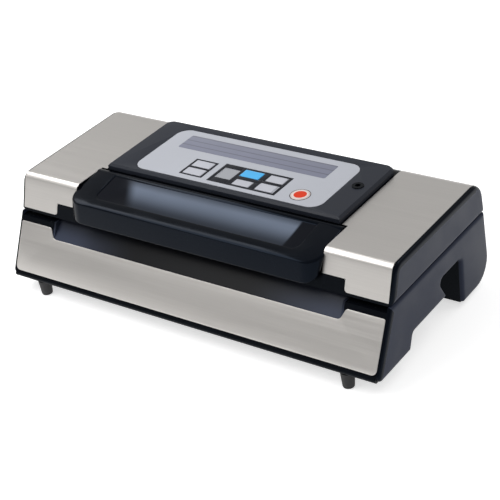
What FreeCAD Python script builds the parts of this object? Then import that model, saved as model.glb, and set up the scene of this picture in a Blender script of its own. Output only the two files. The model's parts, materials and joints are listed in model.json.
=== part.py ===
"""Countertop vacuum sealer: a flat two-part case whose lid hinges at the back.

The base holds the pump, the transformer, the vacuum tray and the heated seal bar. The lid holds the
control panel, the pressure strip, the upper gasket and a wide press-down handle that turns two latches.

Frame: X to the right, Y to the back, Z up. The origin is on the surface it stands on, under its middle.
"""
import FreeCAD, Part
import math
import os
import re

import Sketcher

SIZES = {
    # overall sizes
    "bag_half": 163.0,            # half the width of the bag opening
    "end_block": 43.0,            # from the bag opening to the end of the housing
    "cover_thick": 4.0,           # the end covers outside the housing
    "rear_y": 98.4,               # back of the case at the seam
    "deck_front_y": -75.1,        # front edge of the deck that the bag crosses
    "deck_z": 72.0,               # top of the deck
    "lid_bottom_z": 76.5,         # underside of the closed lid
    "lid_height": 34.5,
    "wall": 2.5,
    "fit_gap": 0.3,               # between moulded pieces that drop into each other
    "run_gap": 0.05,              # radial play of a turning pin
    # base outline
    "toe_y": -104.0,              # foot of the leaning front
    "base_floor_z": 16.0,
    "step_y": -48.0,
    "step_run": 7.0,
    "under_z": 31.0,              # raised underside behind the step
    "rear_box_depth": 47.4,
    "rear_box_floor_z": 5.0,
    "rear_lean": 6.6,
    "rear_round": 30.0,
    "toe_round": 3.0,
    "rim_z": 75.5,                # lip behind the deck
    "rim_thick": 4.0,
    "cover_top_z": 76.0,
    # grip recesses in the ends
    "grip_top_z": 53.5,
    "grip_low_y": 22.0,
    "grip_high_y": 8.5,
    "grip_inset": 31.0,
    "grip_round": 5.0,
    # bag shelf and front panel
    "shelf_low_z": 57.5,
    "shelf_top_y": -66.0,
    "shelf_thick": 2.8,
    "steel_thick": 0.8,
    "steel_low_z": 23.0,
    "steel_high_z": 67.0,
    "notch_flare": 6.0,
    "steel_round": 5.0,
    # seal, gasket and vacuum tray
    "seal_y": -60.0,
    "bar_width": 6.0,
    "bar_height": 9.0,
    "bar_proud": 1.0,
    "strip_width": 4.0,
    "heater_width": 2.5,
    "heater_thick": 0.2,
    "tape_thick": 0.15,
    "gasket_width": 4.5,
    "gasket_inset": 1.0,
    "tray_front_y": -48.0,
    "tray_depth": 33.0,
    "tray_floor_z": 50.0,
    "tray_wall": 1.5,
    "tray_half": 157.0,
    "soft_gap": 0.3,              # left between closed gaskets
    # lid outline
    "lid_toe_y": -72.0,
    "lid_brow_y": -60.0,
    "lid_rear_lean": 3.9,
    "lid_rear_bulge": 0.4,
    "lid_front_round": 12.0,
    "lid_rear_round": 19.0,
    "panel_half": 133.5,          # the steel beside the control panel starts here
    "channel_half": 139.5,        # the wider channel that the handle lies in
    "lid_steel_low_z": 79.0,
    "lid_notch_z": 90.0,
    "liner_thick": 2.5,
    # handle
    "handle_half": 143.0,
    "handle_side_gap": 1.0,
    "arm_width": 24.0,
    "rail_gap": 1.3,              # between the turning rail and the control panel
    "pivot_drop": 3.5,            # pivot below the lid's top
    "rail_radius": 5.5,
    "pivot_radius": 1.5,
    "handle_fall": 8.3,           # how far the handle's top falls from pivot to front edge
    "bar_front_y": -76.0,
    "bar_toe_y": -80.0,
    "bar_foot_z": 81.5,
    "bar_back_y": -66.5,
    "bar_back_toe_y": -75.0,
    "web_back_y": -63.5,
    "window_thick": 2.5,
    "window_sink": 1.2,
    # latch
    "latch_offset": 22.0,         # outside the bag opening
    "latch_width": 8.0,
    "latch_y": -54.0,
    "latch_z": 82.2,
    "latch_radius": 2.5,
    "hook_drop": 20.5,
    "hook_thick": 5.0,
    "toe_reach": 4.5,
    "toe_height": 3.5,
    "keeper_gap": 0.8,            # hook tip behind the keeper at rest
    "keeper_thick": 1.5,
    # control panel
    "bezel_front_y": -21.0,
    "bezel_rear_margin": 18.4,
    "bezel_height": 6.0,
    "bezel_round": 9.0,
    "bezel_edge": 2.0,
    "overlay_half": 105.0,
    "overlay_front_y": -16.0,
    "overlay_depth": 84.0,
    "overlay_thick": 1.6,
    "overlay_round": 13.0,
    "panel_ledge": 6.0,
    "key_proud": 0.6,
    "key_gap": 0.3,
    "key_height": 4.9,
    "key_flange": 1.2,
    "flange_height": 1.6,
    "board_drop": 7.0,            # top of the control board below the lid's top
    "board_thick": 1.6,
    "switch_side": 6.0,
    "port_x": 117.5,
    "port_y": 34.0,
    "port_radius": 5.5,
    "port_bore": 2.6,
    "port_depth": 16.0,
    # hinge
    "hinge_x": 115.0,
    "hinge_radius": 4.0,
    "hinge_pin_radius": 2.0,
    "hinge_rise": 2.5,            # hinge line above the lid's underside
    "knuckle_length": 21.0,
    "ear_length": 12.0,
    # feet
    "foot_inset": 31.6,           # front foot centre from the end of the housing
    "foot_y": -95.0,
    "foot_radius": 6.5,
    "foot_tip_radius": 5.3,
    "pad_radius": 9.0,
    "pad_back": 32.0,             # rear pad centre ahead of the back
    # drive and electrics
    "pump_x": 40.0,
    "pump_length": 38.0,
    "pump_side": 36.0,
    "crank_radius": 9.0,
    "crank_throw": 2.5,
    "shaft_radius": 2.0,
    "motor_radius": 16.0,
    "motor_length": 52.0,
    "motor_z": 40.0,
    "hose_radius": 3.5,
    "hose_bore": 2.0,
    "hose_z": 58.0,
    "tray_port_x": 95.0,
    "core_x": -165.0,
    "core_length": 50.0,
    "core_depth": 34.0,
    "core_height": 40.0,
    "coil_length": 24.0,
    "power_board_x": -96.0,
    "power_board_length": 88.0,
    "power_board_depth": 33.0,
    "bay_floor_z": 16.0,          # level that the drive parts stand on
    "inlet_x": -60.0,
    "inlet_width": 26.0,
    "inlet_height": 16.0,
    "inlet_depth": 18.0,
    "inlet_z": 44.0,
    "screw_radius": 1.5,
    "screw_head": 3.0,
    "boss_radius": 4.0,
    "hatch_half": 172.0,
    "hatch_front_y": -34.0,
    "hatch_margin": 6.0,
}

HALF = "(bag_half + end_block)"
LID_TOP = "(lid_bottom_z + lid_height)"
BEZEL_TOP = "(lid_bottom_z + lid_height + bezel_height)"
BASE_LEAN = "((deck_front_y - toe_y) / (deck_z - base_floor_z))"
LID_LEAN = "((lid_brow_y - lid_toe_y) / lid_height)"
REAR_BOX_Y = "(rear_y - rear_box_depth)"
TRAY_BACK = "(tray_front_y + tray_depth)"
PIVOT_Z = "(lid_bottom_z + lid_height - pivot_drop)"
HINGE_Z = "(lid_bottom_z + hinge_rise)"
HANDLE_TOP = "(lid_bottom_z + lid_height - pivot_drop + rail_radius)"
PIVOT_Y = "(bezel_front_y - rail_gap - rail_radius)"

doc = FreeCAD.newDocument("vacuum_sealer")
sheet = doc.addObject("Spreadsheet::Sheet", "sheet")
for row, (size_name, size_value) in enumerate(SIZES.items(), start=1):
    sheet.set(f"A{row}", size_name)
    sheet.set(f"B{row}", str(size_value))
    sheet.setAlias(f"B{row}", size_name)
doc.recompute()

nodes = []


def bound(text):
    """Turn a formula in size names into one that names the sheet's cells."""
    def cell(match):
        word = match.group(0)
        return f"sheet.{word}" if word in SIZES else word
    return re.sub(r"[A-Za-z_][A-Za-z_0-9]*", cell, str(text))


def base_front(height):
    """Y of the base's leaning front at a height."""
    return f"(toe_y + ({height} - base_floor_z) * {BASE_LEAN})"


def lid_front(height):
    """Y of the lid's leaning front at a height."""
    return f"(lid_toe_y + ({height} - lid_bottom_z) * {LID_LEAN})"


def handle_top(depth):
    """Height of the handle's sloping top at a Y."""
    return f"({HANDLE_TOP} - handle_fall * ({PIVOT_Y} - ({depth})) / ({PIVOT_Y} - bar_front_y))"


def keep(name, item):
    """Call an object by its node name and list it for writing."""
    item.Label = name
    nodes.append(item)
    return item


# ---- primitives and booleans ----------------------------------------------------------------------

def block(name, low, high):
    """Box between two corners given as formulas."""
    item = doc.addObject("Part::Box", name)
    for side, start, end in zip(("Length", "Width", "Height"), low, high):
        item.setExpression(side, bound(f"({end}) - ({start})"))
    for axis, start in zip("xyz", low):
        item.setExpression(f"Placement.Base.{axis}", bound(start))
    return item


def rod(name, axis, centre, radius, length):
    """Round bar that starts at a point and runs along +X, +Y or +Z."""
    item = doc.addObject("Part::Cylinder", name)
    turns = {"x": (FreeCAD.Vector(0, 1, 0), 90), "y": (FreeCAD.Vector(1, 0, 0), -90),
             "z": (FreeCAD.Vector(0, 0, 1), 0)}
    item.Placement = FreeCAD.Placement(FreeCAD.Vector(), FreeCAD.Rotation(*turns[axis]))
    item.setExpression("Radius", bound(radius))
    item.setExpression("Height", bound(length))
    for letter, start in zip("xyz", centre):
        item.setExpression(f"Placement.Base.{letter}", bound(start))
    return item


def cone(name, centre, low_radius, high_radius, height):
    """Upright tapered stub."""
    item = doc.addObject("Part::Cone", name)
    item.setExpression("Radius1", bound(low_radius))
    item.setExpression("Radius2", bound(high_radius))
    item.setExpression("Height", bound(height))
    for letter, start in zip("xyz", centre):
        item.setExpression(f"Placement.Base.{letter}", bound(start))
    return item


def cut(name, base, *tools):
    """Take each tool away from a base in turn."""
    for number, tool in enumerate(tools):
        result = doc.addObject("Part::Cut", f"{name}_cut{number}")
        result.Base = base
        result.Tool = tool
        base = result
    return base


def fuse(name, *parts):
    """Join parts into one solid."""
    result = doc.addObject("Part::MultiFuse", f"{name}_fuse")
    result.Shapes = list(parts)
    return result


def group(name, parts):
    """Keep separate solids together in one node."""
    result = doc.addObject("Part::Compound", f"{name}_group")
    result.Links = list(parts)
    return result


# ---- sketched bodies ------------------------------------------------------------------------------

def origin_plane(body, role):
    return [feature for feature in body.Origin.OriginFeatures if feature.Role == role][0]


def outline(body, name, role, corners, start="0"):
    """Closed sketch through corners that are all held from the origin by formulas."""
    sketch = body.newObject("Sketcher::SketchObject", name)
    sketch.AttachmentSupport = [(origin_plane(body, role), "")]
    sketch.MapMode = "FlatFace"
    sketch.setExpression("AttachmentOffset.Base.z", bound(start))
    count = len(corners)
    for number in range(count):
        turn = FreeCAD.Rotation(FreeCAD.Vector(0, 0, 1), 360.0 * number / count)
        after = FreeCAD.Rotation(FreeCAD.Vector(0, 0, 1), 360.0 * (number + 1) / count)
        reach = FreeCAD.Vector(50, 0, 0)
        sketch.addGeometry(Part.LineSegment(turn.multVec(reach), after.multVec(reach)), False)
    for number in range(count):
        sketch.addConstraint(Sketcher.Constraint("Coincident", number, 2, (number + 1) % count, 1))
    for number, (across, up) in enumerate(corners):
        here = sketch.Geometry[number].StartPoint
        for kind, formula, value in (("DistanceX", across, here.x), ("DistanceY", up, here.y)):
            held = sketch.addConstraint(Sketcher.Constraint(kind, -1, 1, number, 1, value))
            sketch.setExpression(f"Constraints[{held}]", bound(formula))
    doc.recompute()
    return sketch


def new_body(name):
    return doc.addObject("PartDesign::Body", f"{name}_body")


def swept(body, kind, sketch, length, middle):
    feature = body.newObject(f"PartDesign::{kind}", f"{sketch.Name}_{kind.lower()}")
    feature.Profile = sketch
    feature.setExpression("Length", bound(length))
    feature.Midplane = middle
    doc.recompute()
    return feature


def pad(body, sketch, length, middle=True):
    return swept(body, "Pad", sketch, length, middle)


def corner_edges(shape, sketch, number, direction):
    """Names of the edges of a prism that stand on a sketch's corner."""
    corner = sketch.getGlobalPlacement().multVec(sketch.Geometry[number].StartPoint)
    found = []
    for index, edge in enumerate(shape.Edges, start=1):
        if edge.Curve.TypeId != "Part::GeomLine":
            continue
        along = edge.tangentAt(edge.FirstParameter)
        if abs(along.dot(direction)) < 0.999:
            continue
        offset = corner - edge.Vertexes[0].Point
        if offset.cross(direction).Length < 0.01:
            found.append(f"Edge{index}")
    return found


def round_corners(body, sketch, rounds):
    """Fillet a prism's corners: rounds maps a radius formula to the numbers of the sketch's corners."""
    direction = sketch.getGlobalPlacement().Rotation.multVec(FreeCAD.Vector(0, 0, 1))
    for radius, numbers in rounds.items():
        before = body.Tip
        names = []
        for number in numbers:
            names += corner_edges(before.Shape, sketch, number, direction)
        fillet = body.newObject("PartDesign::Fillet", f"{sketch.Name}_round")
        fillet.Base = (before, names)
        fillet.setExpression("Radius", bound(radius))
        doc.recompute()


def rectangle(low, high):
    """Corners of a rectangle from its low and high corners."""
    return [low, (high[0], low[1]), high, (low[0], high[1])]


def prism(name, role, corners, length, start=None, rounds=None):
    """Body of one padded outline, centred on the plane or standing off from a start."""
    body = new_body(name)
    sketch = outline(body, f"{name}_outline", role, corners, start or "0")
    pad(body, sketch, length, middle=start is None)
    if rounds:
        round_corners(body, sketch, rounds)
    return body


def ring(name, half, low_y, high_y, low_z, high_z, band):
    """Rectangular gasket ring of a given band width."""
    outer = block(f"{name}_outer", (f"-({half})", low_y, low_z), (half, high_y, high_z))
    inner_low = (f"-({half}) + {band}", f"{low_y} + {band}", f"{low_z} - 1")
    inner_high = (f"{half} - {band}", f"{high_y} - {band}", f"{high_z} + 1")
    return cut(name, outer, block(f"{name}_inner", inner_low, inner_high))


# ---- base -----------------------------------------------------------------------------------------

def side_outline(top, back_top):
    """Side view of the base below a height."""
    return [
        ("toe_y", "base_floor_z"),
        ("step_y", "base_floor_z"),
        ("step_y + step_run", "under_z"),
        (REAR_BOX_Y, "under_z"),
        (REAR_BOX_Y, "rear_box_floor_z"),
        ("rear_y + rear_lean", "rear_box_floor_z"),
        (back_top, top),
    ]


def base_shell():
    outer = prism("housing_outer", "YZ_Plane", side_outline("rim_z", "rear_y") + [
        ("rear_y - rim_thick", "rim_z"),
        ("rear_y - rim_thick", "deck_z"),
        ("deck_front_y", "deck_z"),
    ], f"2 * {HALF}", rounds={"toe_round": [0], "rear_round": [5]})
    low = "(base_floor_z + wall)"
    roof = "(deck_z - wall)"
    inner = prism("housing_inner", "YZ_Plane", [
        (f"{base_front(low)} + 1.2 * wall", low),
        ("step_y - wall", low),
        ("step_y + step_run - wall", "under_z + wall"),
        (f"{REAR_BOX_Y} + wall", "under_z + wall"),
        (f"{REAR_BOX_Y} + wall", "rear_box_floor_z + wall"),
        ("rear_y + rear_lean - wall", "rear_box_floor_z + wall"),
        ("rear_y - wall", roof),
        (f"{base_front(roof)} + 1.2 * wall", roof),
    ], f"2 * {HALF} - 2 * wall", rounds={"rear_round - wall": [5]})
    return cut("housing_hollow", outer, inner)


def grip_corners(grow="0"):
    """Grip recess seen from the end, grown by a wall where one is wanted."""
    return [
        (f"grip_low_y - ({grow})", "under_z - 5"),
        (f"grip_low_y - ({grow})", f"under_z + ({grow})"),
        (f"grip_high_y - ({grow})", f"grip_top_z + ({grow})"),
        (f"{REAR_BOX_Y} + ({grow})", f"grip_top_z + ({grow})"),
        (f"{REAR_BOX_Y} + ({grow})", "under_z - 5"),
    ]


def grip_blocks():
    """Walls around the two grip recesses, and the recesses themselves."""
    walls = []
    spaces = []
    for side, sign in (("left", "-1"), ("right", "1")):
        inner = f"{HALF} - grip_inset"
        wall_start = f"({sign}) * ({inner} - wall)" if side == "right" else f"-{HALF}"
        wall_block = prism(f"grip_wall_{side}", "YZ_Plane", [
            ("grip_high_y - wall", "under_z"),
            ("grip_high_y - wall", "grip_top_z + wall"),
            (f"{REAR_BOX_Y} + wall", "grip_top_z + wall"),
            (f"{REAR_BOX_Y} + wall", "under_z"),
        ], "grip_inset + wall", wall_start)
        space_start = inner if side == "right" else f"-({HALF}) - 1"
        space = prism(f"grip_space_{side}", "YZ_Plane", grip_corners(), "grip_inset + 1", space_start,
                      {"grip_round": [2, 3]})
        walls.append(wall_block)
        spaces.append(space)
    return walls, spaces


def screw_places():
    """Centres of the screws that hold the bottom cover."""
    places = []
    for across in ("-(hatch_half - 10)", "-(hatch_half / 6)", "hatch_half / 6", "hatch_half - 10"):
        for along in ("hatch_front_y + 8", f"{REAR_BOX_Y} - hatch_margin - 8"):
            places.append((across, along))
    return places


def build_housing():
    shell = base_shell()
    walls, spaces = grip_blocks()
    added = [shell] + walls
    added.append(block("trough_block", ("-(tray_half + fit_gap + wall)", "tray_front_y - fit_gap - wall",
                                        "tray_floor_z - wall"),
                       ("tray_half + fit_gap + wall", f"{TRAY_BACK} + fit_gap + wall", "deck_z - wall / 2")))
    added.append(block("bar_block", ("-(bag_half + wall)", "seal_y - bar_width / 2 - wall",
                                     "deck_z + bar_proud - bar_height - wall"),
                       ("bag_half + wall", "seal_y + bar_width / 2 + wall", "deck_z - wall / 2")))
    for number, (across, along) in enumerate(screw_places()):
        added.append(rod(f"boss_{number}", "z", (across, along, "under_z + wall"), "boss_radius",
                         "deck_z - under_z - 1.5 * wall"))
    for number, (across, along) in enumerate(board_posts()):
        added.append(rod(f"board_post_{number}", "z", (across, along, "rear_box_floor_z + wall"),
                         "boss_radius - 1",
                         "bay_floor_z - rear_box_floor_z - wall"))
    for low_x, high_x in (("pump_x + 4", "pump_x + pump_length - 4"),
                          ("pump_x + pump_length + 14", "pump_x + pump_length + motor_length - 14"),
                          ("core_x + 4", "core_x + core_length - 4")):
        added.append(block("bay_rib", (low_x, f"{REAR_BOX_Y} + wall + 8", "rear_box_floor_z + wall / 2"),
                           (high_x, f"{REAR_BOX_Y} + wall + 24", "bay_floor_z")))
    for sign in ("-", ""):
        for start in ("hinge_x - knuckle_length / 2 - ear_length", "hinge_x + knuckle_length / 2"):
            low_x = f"{sign}({start})" if sign == "" else f"-({start}) - ear_length"
            ear = rod("hinge_ear", "x", (low_x, "rear_y - fit_gap", HINGE_Z), "hinge_radius", "ear_length")
            web = block("hinge_web", (low_x, "rear_y - fit_gap - hinge_radius", "deck_z - 2 * hinge_radius"),
                        (f"{low_x} + ear_length", "rear_y - fit_gap + hinge_radius", HINGE_Z))
            added += [ear, web]
    solid = fuse("housing_all", *added)
    removed = list(spaces)
    removed.append(block("trough_space", ("-(tray_half + fit_gap)", "tray_front_y - fit_gap", "tray_floor_z"),
                         ("tray_half + fit_gap", f"{TRAY_BACK} + fit_gap", "deck_z + 1")))
    removed.append(block("bar_space", ("-(bag_half - fit_gap)", "seal_y - bar_width / 2 - fit_gap / 3",
                                       "deck_z + bar_proud - bar_height"),
                         ("bag_half - fit_gap", "seal_y + bar_width / 2 + fit_gap / 3", "deck_z + 1")))
    removed.append(ring("gasket_seat", "tray_half + fit_gap + 2 * wall + gasket_width",
                        "(tray_front_y - 1.5 * wall - gasket_width)",
                        f"({TRAY_BACK} + 1.5 * wall + gasket_width)",
                        "(deck_z - gasket_inset)", "(deck_z + 1)", "gasket_width"))
    removed.append(block("hatch_space", ("-hatch_half", "hatch_front_y", "under_z - 1"),
                         ("hatch_half", f"{REAR_BOX_Y} - hatch_margin", "under_z + wall")))
    for number, (across, along) in enumerate(screw_places()):
        removed.append(rod(f"boss_bore_{number}", "z", (across, along, "under_z + wall - 1"),
                           "screw_radius", "11"))
    for sign in ("-", ""):
        near = "bag_half + latch_offset - latch_width / 2 - 1"
        low_x = near if sign == "" else f"-({near}) - latch_width - 2"
        removed.append(block("hook_slot", (low_x, "latch_y - hook_thick / 2 - toe_reach - keeper_gap",
                                           "deck_z - 2 * wall"),
                             (f"{low_x} + latch_width + 2", "latch_y + 18", "deck_z + 1")))
        knuckle = "hinge_x - knuckle_length / 2"
        low_x = knuckle if sign == "" else f"-({knuckle}) - knuckle_length"
        removed.append(block("knuckle_space", (low_x, "rear_y - rim_thick - 1", "deck_z + wall / 2"),
                             (f"{low_x} + knuckle_length", "rear_y + 2 * hinge_radius", "rim_z + 8")))
    shelf_cut = prism("shelf_space", "YZ_Plane", [
        ("toe_y - 5", "shelf_low_z - shelf_thick"),
        (f"{base_front('shelf_low_z')} + steel_thick", "shelf_low_z - shelf_thick"),
        ("shelf_top_y", "deck_z - shelf_thick"),
        ("shelf_top_y", "deck_z + 5"),
        ("toe_y - 5", "deck_z + 5"),
    ], "2 * (bag_half + wall)")
    removed.append(shelf_cut)
    removed.append(front_sheet("front_seat", "0"))
    removed.append(rod("tray_port_hole", "y", ("tray_port_x", f"{TRAY_BACK} - 1", "hose_z"), "hose_bore",
                       "2 * wall + 2"))
    removed.append(block("inlet_hole", ("inlet_x - inlet_width / 2", "rear_y - inlet_depth",
                                        "inlet_z - inlet_height / 2"),
                         ("inlet_x + inlet_width / 2", "rear_y + 10", "inlet_z + inlet_height / 2")))
    pins = hinge_pin_rods("hinge_bore")
    keep("base_housing", cut("base_housing", solid, *removed, *pins))


def front_sheet(name, notch):
    """Thin leaning sheet on the base's front, with a notch for the bag opening if one is asked for."""
    sheet_corners = [
        (base_front("steel_low_z"), "steel_low_z"),
        (f"{base_front('steel_low_z')} + steel_thick", "steel_low_z"),
        (f"{base_front('steel_high_z')} + steel_thick", "steel_high_z"),
        (base_front("steel_high_z"), "steel_high_z"),
    ]
    if notch == "0":
        sheet_corners[0] = (f"{base_front('steel_low_z')} - 1", "steel_low_z")
        sheet_corners[3] = (f"{base_front('steel_high_z')} - 1", "steel_high_z")
    body = new_body(name)
    band = outline(body, f"{name}_band", "YZ_Plane", sheet_corners)
    pad(body, band, f"2 * {HALF}")
    if notch == "0":
        return body
    gap = prism(f"{name}_notch", "XZ_Plane", [
        ("-bag_half", "shelf_low_z"),
        ("bag_half", "shelf_low_z"),
        ("bag_half + notch_flare", "steel_high_z + 1"),
        ("-(bag_half + notch_flare)", "steel_high_z + 1"),
    ], "2 * bag_half", rounds={"steel_round": [0, 1]})
    return cut(f"{name}_sheet", body, gap)


def end_cover(name, side, corners, rounds):
    """Flat cover on one end of the case."""
    start = HALF if side == "right" else f"-({HALF}) - cover_thick"
    return prism(name, "YZ_Plane", corners, "cover_thick", start, rounds)


def build_base_covers():
    for side in ("left", "right"):
        corners = side_outline("cover_top_z", "rear_y")
        corners.append((base_front("cover_top_z"), "cover_top_z"))
        cover = end_cover(f"base_end_{side}", side, corners, {"toe_round": [0], "rear_round": [5]})
        start = f"{HALF} - 1" if side == "right" else f"-({HALF}) - cover_thick - 1"
        space = prism(f"cover_grip_{side}", "YZ_Plane", grip_corners(), "cover_thick + 2", start,
                      {"grip_round": [2, 3]})
        keep(f"base_end_cover_{side}", cut(f"base_end_cover_{side}", cover, space))


def build_front():
    keep("front_panel", front_sheet("front_panel", "bag"))
    shelf_front = f"{base_front('shelf_low_z')} + steel_thick"
    plate = prism("shelf_plate", "YZ_Plane", [
        (shelf_front, "shelf_low_z - shelf_thick"),
        ("shelf_top_y", "deck_z - shelf_thick"),
        ("shelf_top_y", "deck_z"),
        (shelf_front, "shelf_low_z"),
    ], "2 * (bag_half + wall)")
    cheeks = []
    for start in ("bag_half", "-bag_half - wall"):
        cheeks.append(prism("shelf_cheek", "YZ_Plane", [
            (shelf_front, "shelf_low_z - shelf_thick / 2"),
            ("shelf_top_y", "deck_z - shelf_thick / 2"),
            ("shelf_top_y", "deck_z"),
            ("deck_front_y + steel_thick", "deck_z"),
        ], "wall", start))
    keep("bag_shelf", fuse("bag_shelf", plate, *cheeks))
    front_feet = []
    rear_pads = []
    for sign in ("-", ""):
        across = f"{sign}({HALF} - foot_inset)"
        front_feet.append(cone("front_foot", (across, "foot_y", "0"), "foot_tip_radius", "foot_radius",
                               "base_floor_z"))
        rear_pads.append(rod("rear_pad", "z", (across, "rear_y - pad_back", "0"), "pad_radius",
                             "rear_box_floor_z"))
    keep("front_feet", group("front_feet", front_feet))
    keep("rear_pads", group("rear_pads", rear_pads))


def build_bottom_cover():
    plate = block("cover_plate", ("-(hatch_half - fit_gap)", "hatch_front_y + fit_gap", "under_z"),
                  ("hatch_half - fit_gap", f"{REAR_BOX_Y} - hatch_margin - fit_gap", "under_z + wall"))
    holes = []
    screws = []
    for across, along in screw_places():
        holes.append(rod("cover_hole", "z", (across, along, "under_z - 1"), "screw_radius + 0.2", "wall + 2"))
        shank = rod("screw_shank", "z", (across, along, "under_z"), "screw_radius", "wall + 9")
        head = rod("screw_head", "z", (across, along, "under_z - 1.5"), "screw_head", "1.5")
        screws.append(fuse("screw", shank, head))
    keep("bottom_cover", cut("bottom_cover", plate, *holes))
    keep("cover_screws", group("cover_screws", screws))


def build_vacuum_parts():
    outer = block("tray_outer", ("-tray_half", "tray_front_y", "tray_floor_z"),
                  ("tray_half", TRAY_BACK, "deck_z - 1"))
    inner = block("tray_inner", ("-(tray_half - tray_wall)", "tray_front_y + tray_wall",
                                 "tray_floor_z + tray_wall"),
                  ("tray_half - tray_wall", f"{TRAY_BACK} - tray_wall", "deck_z"))
    port = rod("tray_port", "y", ("tray_port_x", f"{TRAY_BACK} - 3", "hose_z"), "hose_bore", "6")
    keep("vacuum_tray", cut("vacuum_tray", outer, inner, port))
    middle = "(deck_z + (lid_bottom_z - deck_z) / 2)"
    ring_args = ("(tray_half + fit_gap + 2 * wall + gasket_width)",
                 "(tray_front_y - 1.5 * wall - gasket_width)",
                 f"({TRAY_BACK} + 1.5 * wall + gasket_width)")
    keep("lower_gasket", ring("lower_gasket", *ring_args, "(deck_z - gasket_inset)",
                              f"({middle} - soft_gap / 2)",
                              "gasket_width"))
    keep("upper_gasket", ring("upper_gasket", *ring_args, f"({middle} + soft_gap / 2)",
                              "(lid_bottom_z + gasket_inset)",
                              "gasket_width"))
    top = "(deck_z + bar_proud)"
    keep("seal_bar", block("seal_bar", ("-(bag_half - 1)", "seal_y - bar_width / 2", f"{top} - bar_height"),
                           ("bag_half - 1", "seal_y + bar_width / 2", top)))
    keep("heating_wire", block("heating_wire", ("-(bag_half - 4)", "seal_y - heater_width / 2", top),
                               ("bag_half - 4", "seal_y + heater_width / 2", f"{top} + heater_thick")))
    keep("seal_tape", block("seal_tape", ("-(bag_half - 3)", "seal_y - bar_width / 2 + 0.3",
                                          f"{top} + heater_thick"),
                            ("bag_half - 3", "seal_y + bar_width / 2 - 0.3",
                             f"{top} + heater_thick + tape_thick")))
    keep("pressure_strip", block("pressure_strip", ("-(bag_half - 2)", "seal_y - strip_width / 2",
                                                    f"{top} + heater_thick + tape_thick + soft_gap"),
                                 ("bag_half - 2", "seal_y + strip_width / 2", "lid_bottom_z + gasket_inset")))


# ---- drive and electrics in the rear box ----------------------------------------------------------

def board_posts():
    """Centres of the posts under the power board."""
    places = []
    for across in ("power_board_x + 4", "power_board_x + power_board_length - 4"):
        for along in (f"{REAR_BOX_Y} + wall + 5", f"{REAR_BOX_Y} + wall + power_board_depth - 3"):
            places.append((across, along))
    return places


def build_pump():
    front = f"({REAR_BOX_Y} + wall + 2)"
    centre_y = f"({front} + pump_side / 2)"
    half = "pump_side / 2"
    case = block("pump_case", ("pump_x", f"{centre_y} - {half}", "bay_floor_z"),
                 ("pump_x + pump_length", f"{centre_y} + {half}", f"motor_z + {half}"))
    chamber = rod("crank_space", "x", ("pump_x + 6", centre_y, "motor_z"), "crank_radius + crank_throw + 1",
                  "pump_length - 12")
    bore = rod("shaft_bore", "x", ("pump_x + 2", centre_y, "motor_z"), "shaft_radius + run_gap",
               "pump_length")
    port = rod("pump_port", "y", ("pump_x + pump_length / 2", f"{centre_y} - {half} - 1", "motor_z + 13"),
               "hose_bore", "8")
    keep("pump_housing", cut("pump_housing", case, chamber, bore, port))
    shaft = rod("crank_shaft", "x", ("pump_x + 3", centre_y, "motor_z"), "shaft_radius", "pump_length + 3")
    disc = rod("crank_disc", "x", ("pump_x + 10", centre_y, "motor_z + crank_throw"), "crank_radius",
               "pump_length - 20")
    keep("pump_crank", fuse("pump_crank", shaft, disc))
    can = rod("motor_can", "x", ("pump_x + pump_length", centre_y, "motor_z"), "motor_radius", "motor_length")
    nose = rod("motor_bore", "x", ("pump_x + pump_length - 1", centre_y, "motor_z"),
               "shaft_radius + run_gap", "10")
    keep("pump_motor", cut("pump_motor", can, nose))
    saddle = block("saddle_block", ("pump_x + pump_length + 12", f"{centre_y} - 12", "bay_floor_z"),
                   ("pump_x + pump_length + motor_length - 12", f"{centre_y} + 12", "motor_z - 6"))
    seat = rod("saddle_seat", "x", ("pump_x + pump_length", centre_y, "motor_z"),
               "motor_radius + run_gap", "motor_length")
    keep("motor_saddle", cut("motor_saddle", saddle, seat))


def arc_between(first, corner, second):
    """Arc tangent to both runs at two points that are equally far from their corner."""
    into = (corner - first).normalize()
    out = (second - corner).normalize()
    setback = (corner - first).Length
    half_angle = (math.pi - into.getAngle(out)) / 2
    bisector = (out - into).normalize()
    depth = setback / math.cos(half_angle) - setback * math.tan(half_angle)
    return Part.Arc(first, corner + bisector * depth, second)


def smooth_path(points):
    """Straight runs joined by tangent arcs, each as large as its two runs allow."""
    edges = []
    last = points[0]
    for before, corner, after in zip(points, points[1:], points[2:]):
        setback = 0.45 * min((corner - before).Length, (after - corner).Length)
        first = corner + (before - corner).normalize() * setback
        second = corner + (after - corner).normalize() * setback
        edges.append(Part.LineSegment(last, first).toShape())
        edges.append(arc_between(first, corner, second).toShape())
        last = second
    edges.append(Part.LineSegment(last, points[-1]).toShape())
    return Part.Wire(edges)


def build_hose():
    """Hose from the pump's front face to the tray's back wall."""
    start = FreeCAD.Vector(sheet.pump_x + sheet.pump_length / 2,
                           sheet.rear_y - sheet.rear_box_depth + sheet.wall + 2, sheet.motor_z + 13)
    end = FreeCAD.Vector(sheet.tray_port_x,
                         sheet.tray_front_y + sheet.tray_depth + sheet.fit_gap + sheet.wall, sheet.hose_z)
    lead = FreeCAD.Vector(0, (start.y - end.y) * 0.3, 0)
    path = smooth_path([start, start - lead, end + lead, end])
    tubes = []
    for radius in (sheet.hose_radius, sheet.hose_bore):
        circle = Part.Wire(Part.Circle(start, FreeCAD.Vector(0, 1, 0), radius).toShape())
        tubes.append(path.makePipeShell([circle], True, False))
    hose = doc.addObject("Part::Feature", "vacuum_hose")
    hose.Shape = tubes[0].cut(tubes[1])
    keep("vacuum_hose", hose)


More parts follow.
